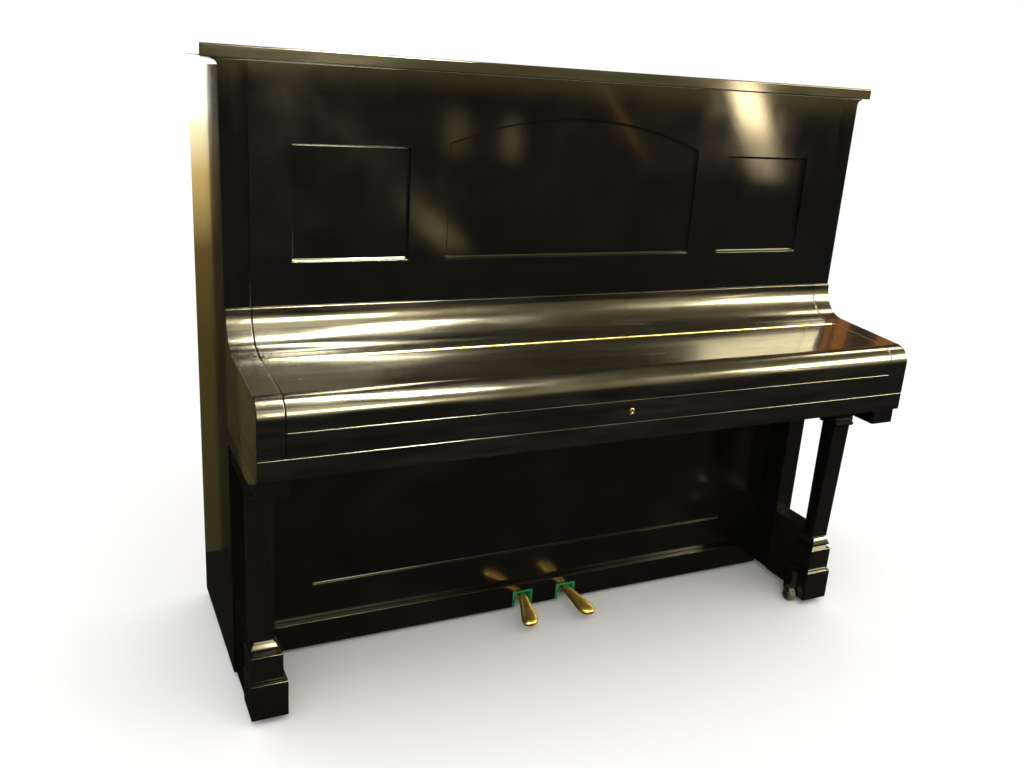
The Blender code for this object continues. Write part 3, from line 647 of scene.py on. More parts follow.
PANEL_FOOT = 0.923                       # all three sunk panels of the upper panel start here
SIDE_PANEL = (0.391, 0.630, 1.150)       # inner edge, outer edge, top
CENTRE_HALF = 0.307                      # half the width of the arched one
SHOULDER_Z = 1.160
CROWN_Z = 1.219
LOWER_PANEL = (-0.570, 0.570, 0.160, 0.505)


def arched(inset):
    """Outline of the centre panel: upright sides and one arc across the top."""
    half = CENTRE_HALF - inset
    rise = CROWN_Z - SHOULDER_Z
    radius = (CENTRE_HALF ** 2 + rise ** 2) / (2 * rise)
    centre = (0, CROWN_Z - radius)
    reach = math.degrees(math.asin(half / (radius - inset)))
    top = arc(centre, radius - inset, 90 - reach, 90 + reach, 48)
    return [(-half, PANEL_FOOT + inset), (half, PANEL_FOOT + inset)] + top


def squared(x0, x1, z0, z1):
    return lambda inset: rectangle(x0 + inset, x1 - inset, z0 + inset, z1 - inset)


def sunk(outline_at, front, stations):
    """Cutter for a sunk panel: (inset, depth) stations from the face to the panel's floor."""
    return skinned([[(x, y_at(front + d), z) for x, z in outline_at(inset)] for inset, d in stations])


MOULDING = ((-0.0015, -0.003), (0.0, 0.0), (0.0012, 0.0070), (0.0042, 0.0090))


def make_upper_panel():
    z = (FALL_TOP + CLEAR, LID_UNDER - 0.0005)
    panel = piece("upper_panel_board", block((-INNER, INNER), (0, 0.022), z), "front", "case",
                  "upper_panel", 0.0006)
    inner, outer, top = SIDE_PANEL
    cut(panel,
        sunk(squared(-outer, -inner, PANEL_FOOT, top), 0, MOULDING),
        sunk(squared(inner, outer, PANEL_FOOT, top), 0, MOULDING),
        sunk(arched, 0, MOULDING))


def make_lower_panel():
    z = (low("lower_panel").z, high("lower_panel").z)
    front = depths("lower_panel")[0]
    half = high("lower_panel").x
    panel = piece("lower_panel_board", block((-half, half), (front, front + 0.018), z),
                  "low", "lower_panel", "lower_panel", 0.0012)
    steps = tuple((a * 0.5, b * 0.5) for a, b in MOULDING)
    cut(panel, sunk(squared(*LOWER_PANEL), front, steps))


def make_plinth():
    """The rail under the lower panel, with a notch round each pedal's felt."""
    near, far = depths("plinth")
    rail = block((-INNER, INNER), (near, far), (low("plinth").z, high("plinth").z))
    rail = piece("plinth_rail", rail, "low", "case", "plinth", 0.0012, 3)
    notches = []
    for name in ("left", "right"):
        felt_low, felt_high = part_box(f"pedal_felt_{name}")
        notches.append(block((felt_low.x - CLEAR, felt_high.x + CLEAR), (near - 0.01, far + 0.01),
                             (0, felt_high.z + CLEAR)))
    cut(rail, *notches)


# ---------------------------------------------------------------- base

def make_legs():
    """A corbel under the key bed, a moulded capital, and a column that tapers down to the foot."""
    for name, side in SIDES:
        bed = low("keybed").z - CLEAR
        corbel = block(mirrored(side, 0.700, OUTER), (-0.284, -CLEAR), (0.554, bed))
        piece(f"leg_corbel_{name}", corbel, "front", "case", None, 0.0014)
        capital = [(-0.168, 0.505)]
        capital += arc((-0.168, 0.5095), 0.0045, 270, 90, 8)
        capital += [(-0.1665, 0.5165)]
        capital += arc((-0.1765, 0.5275), 0.0100, -45, 45, 8)
        capital += [(-0.176, 0.538), (-0.176, 0.5537), (-CLEAR, 0.5537), (-CLEAR, 0.5170)]
        capital += [(-0.112, 0.5170), (-0.112, 0.505)]
        piece(f"leg_capital_{name}", along_x(capital, *mirrored(side, 0.7015, 0.759)), "worn", "case",
              None, 0.0008)
        column = [(-0.165, 0.512), (-0.1545, 0.1845), (-0.120, 0.1845), (-0.120, 0.512)]
        piece(f"leg_column_{name}", along_x(column, *mirrored(side, 0.705, 0.755)), "upright", "case",
              f"leg_{name}", 0.0018)


def make_feet():
    """A runner back to the case and the stepped block of the foot, with the cap on top."""
    for name, side in SIDES:
        floor = low(f"foot_{name}").z
        runner = block(mirrored(side, 0.7065, 0.757), (-0.120, -CLEAR), (floor, 0.196))
        piece(f"foot_runner_{name}", runner, "worn", "case", None, 0.0015)
        lower = block(mirrored(side, 0.684, 0.760), (-0.182, -0.100), (floor, 0.097))
        piece(f"foot_lower_{name}", lower, "front", "case", None, 0.0022, 4)
        upper = block(mirrored(side, 0.692, 0.7585), (-0.173, -0.105), (0.0972, 0.157))
        piece(f"foot_upper_{name}", upper, "front", "case", f"foot_{name}", 0.0020, 4)
        make_foot_cap(name, side)


def make_foot_cap(name, side):
    """The moulded cap: a splayed band over a small fillet, carried round the column on all sides."""
    x0, x1 = mirrored(side, 0.701, 0.7565)
    d0, d1 = -0.167, -0.110
    profile = [(0.0040, 0.1572), (0.0040, 0.1645), (0.0010, 0.1658), (0.0, 0.1672)]
    profile += [(0.0, 0.1682), (0.0022, 0.1728), (0.0046, 0.1775), (0.0074, 0.1820), (0.0090, 0.1842)]
    rings = []
    for inset, z in profile:
        outline = rectangle(x0 + inset, x1 - inset, d0 + inset, d1 - inset)
        rings.append([(x, y_at(d), z) for x, d in outline])
    piece(f"foot_cap_{name}", skinned(rings), "front", sharp=50)


def make_casters():
    """Wheels with a raised rim and a hub on both faces, and the heads of their axles."""
    for end in ("front", "rear"):
        for name, side in SIDES:
            wheel = f"caster_wheel_{end}_{name}"
            centre = (low(wheel) + high(wheel)) / 2
            radius = (high(wheel).z - low(wheel).z) / 2
            half = (high(wheel).x - low(wheel).x) / 2
            profile = [(-half, 0.0043), (-half, 0.0085), (-half + 0.0016, 0.0095), (-half + 0.0016, 0.0130)]
            profile += [(-half, 0.0140), (-half, radius - 0.0022)]
            profile += [(-half + 0.0006, radius - 0.0008), (-half + 0.0022, radius)]
            profile += [(-x, r) for x, r in reversed(profile)]
            tyre = lathe(profile, 40, lambda p: centre + Vector((p.z, p.x, p.y)))
            piece(f"wheel_{end}_{name}", tyre, "iron", wheel, wheel, sharp=25)
            keep(f"caster_bracket_{end}_{name}", "black_iron", 0.0007)
            for reach in (-1, 1):
                x = centre.x + reach * (half + 0.0042)
                head = lathe([(0, 0.0046), (0.0010, 0.0046), (0.0018, 0.0034), (0.0021, 0.0015)], 18,
                             lambda p: Vector((x + reach * p.z, centre.y + p.x, centre.z + p.y)))
                piece(f"axle_head_{end}_{name}_{'out' if reach > 0 else 'in'}", head, "black_iron")


# ---------------------------------------------------------------- pedals

PEDAL_SPLAY = {"left": -0.026, "right": 0.009}
PEDAL_RINGS = 48
PEDAL_SIDES = 32
FELT_LIP = 0.0032                        # how far the felt is folded over the plinth's face
PEDAL_STATIONS = (
    # depth, half width, underside, top
    (0.166, 0.0070, 0.0365, 0.0455),
    (0.060, 0.0100, 0.0355, 0.0465),
    (0.040, 0.0115, 0.0345, 0.0465),
    (0.010, 0.0150, 0.0305, 0.0450),
    (-0.020, 0.0190, 0.0275, 0.0430),
    (-0.042, 0.0210, 0.0250, 0.0410),
    (-0.056, 0.0180, 0.0235, 0.0380),
    (-0.064, 0.0100, 0.0250, 0.0340),
)


def smooth_row(rows, share):
    """A point on the smooth curve through rows of numbers; share runs from 0 to 1."""
    place = share * (len(rows) - 1)
    i = min(int(place), len(rows) - 2)
    t = place - i
    a, b, c, d = rows[max(i - 1, 0)], rows[i], rows[i + 1], rows[min(i + 2, len(rows) - 1)]
    return tuple(
        0.5 * (2 * q + (r - p) * t + (2 * p - 5 * q + 4 * r - s) * t * t + (3 * q - p - 3 * r + s) * t ** 3)
        for p, q, r, s in zip(a, b, c, d)
    )


def make_pedals():
    """Brass pedals with oval sections, and the felt round the notches they stand in."""
    plinth_front = depths("plinth")[0]
    for name in ("left", "right"):
        tail = low(f"pedal_rod_{name}").x + 0.006
        rings = []
        for k in range(PEDAL_RINGS + 1):
            depth, half, under, top = smooth_row(PEDAL_STATIONS, k / PEDAL_RINGS)
            if k == PEDAL_RINGS:         # the last ring draws in and rounds the toe's edge
                half, under, top = half * 0.6, under + 0.001, top - 0.001
            outside = max(0.0, plinth_front - depth) / 0.100
            x = tail + PEDAL_SPLAY[name] * outside
            middle = (under + top) / 2
            ring = []
            for i in range(PEDAL_SIDES):
                angle = 2 * math.pi * (i + 0.5) / PEDAL_SIDES
                a = math.copysign(abs(math.cos(angle)) ** 0.75, math.cos(angle))
                b = math.copysign(abs(math.sin(angle)) ** 0.75, math.sin(angle))
                ring.append((x + half * a, y_at(depth), middle + (top - under) / 2 * b))
            rings.append(ring)
        piece(f"pedal_brass_{name}", skinned(rings), "brass", f"pedal_{name}", f"pedal_{name}", sharp=60)
        keep(f"pedal_felt_{name}", "felt", 0.0009)
        near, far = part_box(f"pedal_felt_{name}")
        left, right, crown = near.x - FELT_LIP, far.x + FELT_LIP, far.z + FELT_LIP
        lip = [(left, near.z), (left, crown), (right, crown), (right, near.z),
               (far.x, near.z), (far.x, far.z), (near.x, far.z), (near.x, near.z)]
        piece(f"pedal_felt_lip_{name}", along_y(lip, plinth_front - FELT_LIP, plinth_front - 0.0002), "felt",
              "case", None, 0.0008, 2)
        keep(f"pedal_rod_{name}", "maple", 0.0008)


# ---------------------------------------------------------------- keyboard

NATURALS = 52
PITCH = 0.0235
KEYS_HALF = NATURALS * PITCH / 2
HALF_GAP = 0.0005
KEY_FRONT, KEY_BACK = depths("key_C")
KEY_FOOT = low("key_C").z
KEY_TOP = high("key_C").z
SHARP_TOP = high("key_C_sharp").z
SHOULDER = KEY_FRONT + 0.050
COVER_BACK = -0.112                      # where the ivories and the ebony end and bare wood begins
COVER_T = 0.0022
SHARP_HALF = 0.0055
LETTERS = ("C", "D", "E", "F", "G", "A", "B")
SHARP_SHIFT = {"C": -0.0035, "D": 0.0035, "F": -0.0045, "G": 0.0, "A": 0.0045}
MIDDLE = range(23, 30)                   # naturals of the octave that moves key by key


def letter(index):
    return LETTERS[(5 + index) % 7]


def sharp_centre(index):
    if index < 0 or letter(index) not in SHARP_SHIFT or index + 1 >= NATURALS:
        return None
    return -KEYS_HALF + (index + 1) * PITCH + SHARP_SHIFT[letter(index)]


def natural_edges(index):
    """X of a natural's head and of its narrow part: (left, right, tail left, tail right)."""
    left = -KEYS_HALF + index * PITCH + HALF_GAP
    right = left + PITCH - 2 * HALF_GAP
    below = sharp_centre(index - 1)
    above = sharp_centre(index)
    tail_left = left if below is None else below + SHARP_HALF + 2 * HALF_GAP
    tail_right = right if above is None else above - SHARP_HALF - 2 * HALF_GAP
    return left, right, tail_left, tail_right


def natural_parts(index):
    """(ivory, wood) of one natural: a head, a tail and a front plate of ivory on a wooden stick."""
    left, right, tail_left, tail_right = natural_edges(index)
    under = KEY_TOP - COVER_T
    lip = 0.0012
    head = block((left, right), (KEY_FRONT, SHOULDER - 0.00012), (under, KEY_TOP))
    tail = block((tail_left, tail_right), (SHOULDER + 0.00012, COVER_BACK), (under, KEY_TOP))
    plate = block((left + 0.0006, right - 0.0006), (KEY_FRONT + lip, KEY_FRONT + lip + 0.0014),
                  (KEY_FOOT + 0.001, under - 0.0001))
    stick = [(left + 0.0003, KEY_FRONT + lip + 0.0015), (right - 0.0003, KEY_FRONT + lip + 0.0015)]
    if tail_right < right:
        stick += [(right - 0.0003, SHOULDER), (tail_right, SHOULDER)]
    stick += [(tail_right, KEY_BACK), (tail_left, KEY_BACK)]
    if tail_left > left:
        stick += [(tail_left, SHOULDER), (left + 0.0003, SHOULDER)]
    return together(head, tail, plate), along_z(stick, KEY_FOOT, under - 0.0001)


def sharp_parts(index):
    """(ebony, wood) of one sharp: a tapered block with a sloped nose on a narrow stick."""
    centre = sharp_centre(index)
    front = SHOULDER + 0.002
    foot = KEY_TOP - 0.004
    rings = []
    for z, half, d0 in ((foot, SHARP_HALF, front), (KEY_TOP + 0.002, SHARP_HALF, front),
                        (SHARP_TOP - 0.0015, SHARP_HALF - 0.0009, front + 0.0036),
                        (SHARP_TOP, SHARP_HALF - 0.0016, front + 0.0062)):
        outline = rectangle(centre - half, centre + half, d0, -0.121)
        rings.append([(x, y_at(d), z) for x, d in outline])
    stick = together(
        block((centre - SHARP_HALF + 0.0004, centre + SHARP_HALF - 0.0004), (front + 0.001, -0.1205),
              (KEY_FOOT, foot - 0.0001)),
        block((centre - SHARP_HALF + 0.0004, centre + SHARP_HALF - 0.0004), (-0.1203, KEY_BACK),
              (KEY_FOOT, KEY_TOP - 0.0001)),
    )
    return skinned(rings), stick


def make_keyboard():
    runs = {"bass": range(0, MIDDLE[0]), "treble": range(MIDDLE[-1] + 1, NATURALS)}
    for name, indices in runs.items():
        naturals = [natural_parts(i) for i in indices]
        sharps = [sharp_parts(i) for i in indices if sharp_centre(i) is not None]
        piece(f"ivories_{name}", together(*(n[0] for n in naturals)), "ivory", "case", f"naturals_{name}",
              0.0005, 2)
        piece(f"ebonies_{name}", together(*(n[0] for n in sharps)), "ebony", "case", f"sharps_{name}", 0.0006,
              2)
        sticks = [n[1] for n in naturals] + [n[1] for n in sharps]
        piece(f"key_sticks_{name}", together(*sticks), "maple", "case")
    for index in MIDDLE:
        note = letter(index)
        cover, stick = natural_parts(index)
        piece(f"ivory_{note}", cover, "ivory", f"key_{note}", f"key_{note}", 0.0005, 2)
        piece(f"stick_{note}", stick, "maple", f"key_{note}")
        if sharp_centre(index) is not None:
            cover, stick = sharp_parts(index)
            body = f"key_{note}_sharp"
            piece(f"ebony_{note}_sharp", cover, "ebony", body, body, 0.0006, 2)
            piece(f"stick_{note}_sharp", stick, "maple", body)
    felt = block((-KEYS_HALF, KEYS_HALF), (-0.1105, -0.0985), (KEY_TOP + 0.0010, KEY_TOP + 0.0030))
    piece("name_felt", felt, "red_felt", "case", None, 0.0006, 2)


# ---------------------------------------------------------------- action and strings

NOTES = 88
BREAKS = (26, 44, 66)                    # notes after which an iron bar stands between the strings
STRING_D = 0.214                         # depth of the string plane
BASS = 26                                # notes with wound strings
STRIKE_Z = 1.052
DAMPED = 66                              # notes that have a damper


def note_x(note):
    """Where a note's hammer strikes; the rows open a little at each iron bar."""
    return -0.598 + note * 0.01315 + 0.0085 * sum(note >= b for b in BREAKS)


def make_hammers():
    """Felt heads on shanks that lean on the hammer rail and swing forward with it."""
    heads = []
    cores = []
    shanks = []
    rod_low, rod_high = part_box("pedal_rod_left")
    for note in range(NOTES):
        x = note_x(note)
        size = 1.0 - 0.32 * note / NOTES
        half = 0.0048 - 0.0006 * note / NOTES
        z = STRIKE_Z
        back = 0.104
        length = 0.040 * size
        tall = 0.0125 * size
        outline = [(back + 0.008, z - tall * 0.8)]
        outline += [(back + length - tall * 0.9 + tall * 0.9 * math.cos(math.radians(a)),
                     z + tall * math.sin(math.radians(a))) for a in range(-75, 76, 15)]
        outline += [(back + 0.008, z + tall * 0.8), (back + 0.003, z + tall * 0.5),
                    (back + 0.003, z - tall * 0.5)]
        heads.append(along_x(outline, x - half, x + half))
        cores.append(block((x - half * 0.92, x + half * 0.92), (back - 0.010, back + 0.016),
                           (z - 0.0042, z + 0.0042)))
        if rod_low.x - 0.007 < x < rod_high.x + 0.007:
            foot = (0.1155, 1.0095)      # this one ends on the finger over the pedal's rod
        else:
            foot = (0.145, 0.925)
            cores.append(block((x - half * 0.9, x + half * 0.9), (0.138, 0.152), (0.908, 0.930)))
        shanks.append(rod((x, y_at(0.1025), z - 0.003), (x, y_at(foot[0]), foot[1]), 0.0028, 8))
    piece("hammer_felts", together(*heads), "white_felt", "hammer_rail", None, 0.0008, 2)
    piece("hammer_woods", together(*cores), "maple", "hammer_rail", None, 0.0006, 2)
    piece("hammer_shanks", together(*shanks), "maple", "hammer_rail")


def make_dampers():
    """Felt on wooden blocks, carried by wires that stand on the lift rail."""
    blocks = []
    pads = []
    wires = []
    rod_low, rod_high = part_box("pedal_rod_left")
    for note in range(DAMPED):
        x = note_x(note)
        if rod_low.x - 0.010 < x < rod_high.x + 0.010 or x < -0.590:
            continue                     # the rod or an arm of the hammer rail passes here
        blocks.append(block((x - 0.0046, x + 0.0046), (0.180, 0.190), (0.928, 0.950)))
        pads.append(block((x - 0.0043, x + 0.0043), (0.1902, 0.1975), (0.926, 0.952)))
        wires.append(rod((x, y_at(0.183), 0.853), (x, y_at(0.183), 0.932), 0.0011, 6))
    piece("damper_blocks", together(*blocks), "maple", "damper_rail", None, 0.0006, 2)
    piece("damper_felts", together(*pads), "white_felt", "damper_rail", None, 0.0008, 2)
    piece("damper_wires", together(*wires), "steel", "damper_rail")


def string_courses():
    """(note, which of its strings, x at the top, x at the foot, foot height) of every string."""
    courses = []
    for note in range(NOTES):
        if note < BASS:
            count = 1 if note < 10 else 2
            lean, foot = 0.30, 0.150 + 0.002 * note
        else:
            count = 3
            share = (note - BASS) / (NOTES - BASS)
            lean, foot = -0.20 + 0.16 * share, 0.16 + 0.62 * share ** 0.8
        for k in range(count):
            x = note_x(note) + (k - (count - 1) / 2) * 0.0028
            courses.append((note, k, x, x + lean * (1.10 - foot) * 0.45, foot))
    return courses


def make_strings():
    """Strings from their tuning pins down over the iron frame; the bass ones are copper wound."""
    wound = []
    plain = []
    pins = []
    coils = []
    front = low("iron_frame").y
    for note, k, x, foot_x, foot in string_courses():
        bass = note < BASS
        radius = 0.0014 - 0.0008 * note / BASS if bass else 0.00052
        d = STRING_D - 0.006 if bass else STRING_D
        pin_z = 1.115 + 0.030 * k + (0.014 if note % 2 else 0.0) + (0.055 if bass else 0.045)
        foot_x = max(-0.680, min(0.680, foot_x))
        speaking = 1.085
        target = wound if bass else plain
        target.append(rod((x, y_at(d), speaking), (foot_x, y_at(d), foot), radius, 6))
        plain.append(rod((x, y_at(d), speaking), (x + 0.0032, y_at(STRING_D - 0.002), pin_z), 0.00052, 4))
        pins.append(rod((x, front + 0.0005, pin_z), (x, y_at(STRING_D - 0.026), pin_z + 0.0015), 0.0033, 10,
                        0.0006))
        coils.append(rod((x, y_at(STRING_D - 0.0065), pin_z), (x, y_at(STRING_D + 0.0010), pin_z), 0.0043,
                         12))
    piece("strings_wound", together(*wound), "copper")
    piece("strings_plain", together(*plain), "steel")
    piece("tuning_pins", together(*pins), "steel")
    piece("pin_coils", together(*coils), "steel")
    bar = block((-0.640, 0.640), (STRING_D - 0.008, front - CASE_FRONT - 0.0003), (1.083, 1.093))
    piece("pressure_bar", bar, "brass", "case", None, 0.0012, 3)
    screws = []
    for i in range(22):
        x = -0.620 + i * 0.059
        screws.append(rod((x, y_at(STRING_D - 0.0085), 1.088), (x, y_at(STRING_D - 0.0125), 1.088), 0.0036,
                          14, 0.0010))
    piece("bar_screws", together(*screws), "steel")
    felt = block((-0.640, 0.640), (STRING_D + 0.0035, front - CASE_FRONT - 0.0003), (1.097, 1.112))
    piece("string_felt", felt, "red_felt", "case", None, 0.0008, 2)


def make_iron_frame():
    keep("iron_frame", "gilt", 0.0015)
    front = low("iron_frame").y
    bolts = []
    for x in (-0.680, -0.282, 0.098, 0.448, 0.680):
        for z in (1.265, 0.135):
            head = [(0, 0.0085), (0.0030, 0.0090), (0.0062, 0.0072), (0.0072, 0.0030)]
            bolts.append(lathe(head, 20, lambda p: Vector((x + p.x, front - p.z, z + p.y))))
    piece("plate_bolts", together(*bolts), "steel")


def slanted(bay, window, height_at, half):
    """Outline of a slanting strip, kept inside bounds in X and in height."""
    x0, x1 = bay
    outline = [(x0, height_at(x0) - half), (x1, height_at(x1) - half), (x1, height_at(x1) + half),
               (x0, height_at(x0) + half)]
    for bound, side in ((window[0], 1), (window[1], -1)):
        kept = []
        for i, here in enumerate(outline):
            there = outline[(i + 1) % len(outline)]
            inside = (here[1] - bound) * side >= 0
            if inside:
                kept.append(here)
            if inside != ((there[1] - bound) * side >= 0):
                share = (bound - here[1]) / (there[1] - here[1])
                kept.append((here[0] + (there[0] - here[0]) * share, bound))
        outline = kept
    width = max((x for x, z in outline), default=0) - min((x for x, z in outline), default=0)
    return outline if len(outline) > 2 and width > 0.10 else None


def make_back():
    """Posts between two rails, and the ribs of the soundboard that show between them."""
    frame_low, frame_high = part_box("back_frame")
    board_low, board_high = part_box("soundboard")
    pin_block_front, far = frame_low.y - CASE_FRONT, frame_high.y - CASE_FRONT
    board_back = board_high.y - CASE_FRONT
    near = board_back + 0.020
    width = 0.075
    window = (0.165, 1.080)
    gap = (frame_high.x - frame_low.x - 5 * width) / 4
    lefts = [frame_low.x + i * (width + gap) for i in range(5)]
    for i, x in enumerate(lefts):
        post = block((x + 0.0002, x + width - 0.0002), (near, far - 0.0015),
                     (window[0] - 0.010, window[1] + 0.010))
        piece(f"back_post_{i}", post, "spruce", "case", "back_frame" if i == 0 else None, 0.0030, 3)
    for name, front, z, joint in (
        ("low", near, (frame_low.z, window[0]), (window[0] - 0.0102, window[0] + 0.01)),
        ("high", pin_block_front, (window[1], frame_high.z), (window[1] - 0.01, window[1] + 0.0102)),
    ):
        rail = piece(f"back_rail_{name}", block((frame_low.x, frame_high.x), (front, far), z), "beech",
                     "case",
                     None, 0.0025, 3)
        cut(rail, *[block((x, x + width), (near - 0.0002, far + 0.01), joint) for x in lefts])
    keep("soundboard", "board", 0.0006)
    ribs = []
    slope = 0.80
    half = 0.011 * math.hypot(1, slope)
    margin = 0.015
    for k in range(-4, 11):
        offset = -0.62 + k * 0.150
        rib = slanted((board_low.x + margin, board_high.x - margin),
                      (board_low.z + margin, board_high.z - margin),
                      lambda x: 0.56 + (x - offset) * slope, half)
        if rib:
            ribs.append(along_y(rib, board_back + 0.0002, near - 0.0006))
    piece("soundboard_ribs", together(*ribs), "board", "case", None, 0.0015, 2)


make_sides()
make_arms()
make_keybed()
make_key_slip()
make_lock()
make_fall()
make_fall_hinge()
make_lid()
make_upper_panel()
make_lower_panel()
make_plinth()
make_legs()
make_feet()
make_casters()
make_pedals()
make_keyboard()
make_hammers()
make_dampers()
make_strings()
make_iron_frame()
make_back()

for node, look, bevel in (
    ("key_block_left", "front", 0.001), ("key_block_right", "front", 0.001), ("key_frame", "maple", 0.0008),
    ("bottom_board", "beech", 0.0008), ("action_frame", "gilt", 0.001), ("hammer_rail", "beech", 0.001),
    ("damper_rail", "steel", 0.0006),
):
    keep(node, look, bevel)


# ---------------------------------------------------------------- stage

def make_floor():
    bm = bmesh.new()
    bmesh.ops.create_grid(bm, x_segments=1, y_segments=1, size=14)
    mesh = bpy.data.meshes.new("floor")
    bm.to_mesh(mesh)
    bm.free()
    floor = linked("floor", mesh)
    material = bpy.data.materials.new("floor_pale")
    material.use_nodes = True
    shader = material.node_tree.nodes["Principled BSDF"]
    shader.inputs["Base Color"].default_value = (0.96, 0.96, 0.96, 1)
    shader.inputs["Roughness"].default_value = 0.8
    mesh.materials.append(material)
    floor.visible_glossy = False


def make_world():
    """White behind the object; for reflections, a room that is dark below and dim olive above."""
    world = bpy.data.worlds.new("studio")
    bpy.context.scene.world = world
    world.use_nodes = True
    sky = Nodes(world.node_tree)
    height = sky.spread(sky.axis("Generated", "Z"), 0.0, 1.0, -1.0, 1.0)
    room = sky.ramp(height, (0.0, (0.04, 0.035, 0.030)), (0.488, (0.07, 0.065, 0.05)),
                    (0.502, (0.95, 0.76, 0.28)), (0.80, (0.95, 0.76, 0.28)), (0.92, (0.42, 0.34, 0.15)))
    dimmed = sky.node("ShaderNodeVectorMath", operation="SCALE")
    sky.feed(dimmed.inputs[0], room)
    sky.feed(dimmed.inputs["Scale"], sky.spread(sky.axis("Generated", "Y"), 1.0, 0.22, 0.05, 0.35))
    rays = sky.node("ShaderNodeLightPath").outputs
    glossy = sky.mix(rays["Is Glossy Ray"], (1.12, 1.12, 1.12), dimmed.outputs[0])
    seen = sky.mix(rays["Is Camera Ray"], glossy, (1.0, 1.0, 1.0))
    sky.feed(sky.tree.nodes["Background"].inputs["Color"], seen)


LIGHTS = (
    # name, place, aimed at, width, height, radiance, colour, seen only in reflections
    ("window_left", (0.85, -5.50, 2.25), (0.85, 0.0, 2.25), 1.20, 1.20, 60.0, (1.0, 0.87, 0.52), True),
    ("window_left_high", (0.85, -5.50, 4.25), (0.85, 0.0, 4.25), 1.20, 2.60, 7.0, (1.0, 0.87, 0.52), True),
    ("lamp_left", (0.00, -0.88, 2.35), (-0.45, -0.10, 0.75), 0.22, 1.25, 270.0, (1.0, 0.90, 0.60), True),
    ("window_right", (4.10, -2.60, 2.45), (1.00, -0.20, 2.45), 2.60, 1.30, 48.0, (1.0, 0.87, 0.52), True),
    ("lamp_right", (2.30, 0.00, 2.40), (0.60, -0.20, 0.75), 0.40, 0.40, 26.0, (1.0, 0.87, 0.52), True),
    ("softbox", (-1.20, -2.60, 4.20), (0.0, 0.0, 0.50), 3.20, 3.20, 1.2, (1.0, 0.99, 0.96), False),
)

CARDS = (
    # name, corner, opposite corner, radiance at heights: walls of the room that only reflections see
    ("wall_rear", (-0.862, 0.75, -0.10), (-0.700, 0.75, 1.60),
     ((0.0, (0.06, 0.05, 0.018)), (0.55, (0.10, 0.075, 0.020)), (0.80, (0.19, 0.13, 0.035)),
      (1.00, (1.05, 0.75, 0.26)), (1.12, (2.0, 1.8, 1.1)), (1.18, (3.0, 2.9, 2.5)))),
    ("wall_high", (-1.00, 0.75, 1.296), (-0.862, 0.75, 1.60),
     ((1.29, (3.2, 3.1, 2.9)), (1.60, (3.2, 3.1, 2.9)))),
    ("wall_dark", (-0.905, 0.76, -0.10), (-0.860, 0.76, 1.296),
     ((0.0, (0.02, 0.02, 0.01)), (1.3, (0.05, 0.04, 0.02)))),
    ("wall_side", (-1.10, 0.75, 0.10), (-0.925, 0.75, 0.80),
     ((0.10, (0.10, 0.08, 0.03)), (0.60, (0.20, 0.16, 0.06)))),
    ("door_right_a", (1.60, 0.63, 0.90), (1.60, 0.69, 2.00),
     ((0.90, (0.70, 0.26, 0.06)), (2.00, (1.1, 0.46, 0.12)))),
    ("door_right_b", (1.60, 0.71, 0.90), (1.60, 0.74, 2.00),
     ((0.90, (0.70, 0.26, 0.06)), (2.00, (1.1, 0.46, 0.12)))),
    ("door_right_c", (1.60, 0.40, 0.90), (1.60, 0.49, 2.00),
     ((0.90, (0.70, 0.26, 0.06)), (2.00, (1.1, 0.46, 0.12)))),
    ("dark_right", (1.62, 0.10, 0.60), (1.62, 1.60, 2.20),
     ((0.60, (0.05, 0.04, 0.03)), (2.20, (0.08, 0.06, 0.04)))),
)


GLARE_Y = -3.0
GLARE_TINT = (1.0, 0.80, 0.46)
GLARES = (
    # name, x of the left and right edge at the bottom, the same at the top, bottom and top height,
    # tint, radiance from the bottom up: lit things far in front of the upper panel
    ("glare_right", (2.85, 3.25), (2.53, 2.89), (0.73, 1.35), GLARE_TINT,
     (0.0, 3.0, 5.0, 6.5, 9.0, 15.0, 26.0, 34.0, 38.0, 38.0, 36.0)),
    ("glare_streak", (2.08, 2.19), (1.70, 1.80), (0.84, 1.29), (1.0, 0.55, 0.12),
     (0.0, 0.6, 1.0, 1.1, 1.0, 0.8, 0.6)),
    ("glare_a", (0.80, 1.04), (0.79, 1.03), (0.83, 1.13), (1.0, 0.75, 0.34), (0.0, 0.6, 0.9, 0.6, 0.0)),
    ("glare_b", (1.15, 1.36), (1.13, 1.33), (0.81, 1.10), (1.0, 0.80, 0.40), (0.0, 0.8, 1.2, 0.8, 0.0)),
    ("glare_c", (0.79, 1.15), (0.42, 0.75), (0.33, 0.74), (1.0, 0.82, 0.36),
     (0.0, 1.0, 1.5, 1.2, 0.7, 0.3, 0.0)),
)


def card(name, corners):
    """A lit sheet that only reflections see. Gives the nodes of its material, still without light."""
    mesh = bpy.data.meshes.new(name)
    mesh.from_pydata(corners, [], [(0, 1, 2, 3)])
    unwrapped = mesh.uv_layers.new(name="across")
    for corner, place in zip(unwrapped.data, ((0, 0), (1, 0), (1, 1), (0, 1))):
        corner.uv = place
    sheet = linked(name, mesh)
    material = bpy.data.materials.new(name)
    material.use_nodes = True
    mesh.materials.append(material)
    sheet.visible_camera = False
    sheet.visible_diffuse = False
    sheet.visible_shadow = False
    nodes = Nodes(material.node_tree)
    nodes.tree.nodes.remove(nodes.tree.nodes["Principled BSDF"])
    return nodes


def emission(nodes, colour, strength):
    glow = nodes.node("ShaderNodeEmission")
    nodes.feed(glow.inputs["Color"], colour)
    nodes.feed(glow.inputs["Strength"], strength)
    return glow.outputs["Emission"]


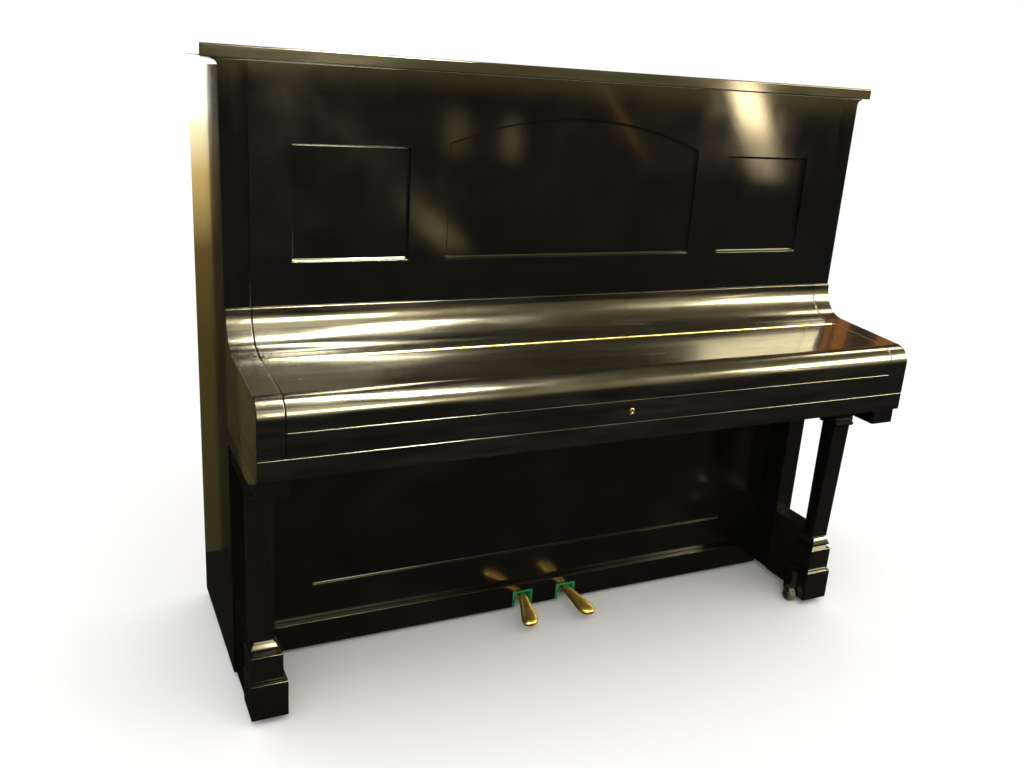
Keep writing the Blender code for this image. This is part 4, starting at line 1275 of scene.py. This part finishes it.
def make_glares():
    """Soft-edged patches, bright in the middle, that the upper panel shows as hazy glare."""
    for name, (x0, x1), (x2, x3), (z0, z1), tint, radiances in GLARES:
        nodes = card(name, [(x0, GLARE_Y, z0), (x1, GLARE_Y, z0), (x3, GLARE_Y, z1), (x2, GLARE_Y, z1)])
        most = max(radiances)
        last = len(radiances) - 1
        stops = [(i / last, tuple(r / most * t for t in tint)) for i, r in enumerate(radiances)]
        rise = nodes.ramp(nodes.axis("UV", "Y"), *stops)
        hump = nodes.ramp(nodes.axis("UV", "X"), (0.0, (0, 0, 0)), (0.5, (1, 1, 1)), (1.0, (0, 0, 0)),
                          interpolation="EASE")
        both = nodes.combine("MULTIPLY", rise, hump, "ShaderNodeVectorMath")
        rays = nodes.node("ShaderNodeAddShader")
        nodes.feed(rays.inputs[0], emission(nodes, both, most))
        nodes.feed(rays.inputs[1], nodes.node("ShaderNodeBsdfTransparent").outputs["BSDF"])
        nodes.feed(nodes.tree.nodes["Material Output"].inputs["Surface"], rays.outputs["Shader"])


def make_cards():
    """Walls and doors of the room, each with its own light from foot to head."""
    for name, (x0, y0, z0), (x1, y1, z1), stops in CARDS:
        nodes = card(name, [(x0, y0, z0), (x1, y1, z0), (x1, y1, z1), (x0, y0, z1)])
        foot, head = stops[0][0], stops[-1][0]
        rise = nodes.spread(nodes.axis("Object", "Z"), 0.0, 1.0, foot, head)
        shade = nodes.ramp(rise, *(((z - foot) / (head - foot), colour) for z, colour in stops))
        nodes.feed(nodes.tree.nodes["Material Output"].inputs["Surface"], emission(nodes, shade, 1.0))


def make_lights():
    for name, place, target, width, height, radiance, colour, mirror_only in LIGHTS:
        data = bpy.data.lights.new(name, "AREA")
        data.shape = "RECTANGLE"
        data.size = width
        data.size_y = height
        data.energy = radiance * math.pi * width * height
        data.color = colour
        lamp = linked(name, data)
        lamp.location = place
        lamp.rotation_euler = (Vector(target) - Vector(place)).to_track_quat("-Z", "Y").to_euler()
        lamp.visible_camera = False
        lamp.visible_diffuse = not mirror_only
        lamp.visible_glossy = mirror_only


def make_camera():
    yaw, pitch, roll = (math.radians(a) for a in (26.401, 17.891, 3.866))
    data = bpy.data.cameras.new("camera")
    data.sensor_width = 36.0
    data.lens = 34.017
    data.clip_end = 60
    camera = linked("camera", data)
    right = Vector((math.cos(yaw), -math.sin(yaw), 0))
    ahead = Vector((math.sin(yaw), math.cos(yaw), 0))
    up = Vector((0, 0, 1))
    forward = ahead * math.cos(pitch) - up * math.sin(pitch)
    crown = up * math.cos(pitch) + ahead * math.sin(pitch)
    across = right * math.cos(roll) + crown * math.sin(roll)
    above = crown * math.cos(roll) - right * math.sin(roll)
    turn = Matrix((across, above, -forward)).transposed().to_4x4()
    camera.matrix_world = Matrix.Translation((-1.0622, -1.9180, 1.307)) @ turn
    bpy.context.scene.camera = camera


make_floor()
make_world()
make_lights()
make_cards()
make_glares()
make_camera()
bpy.context.scene.view_settings.view_transform = "Standard"
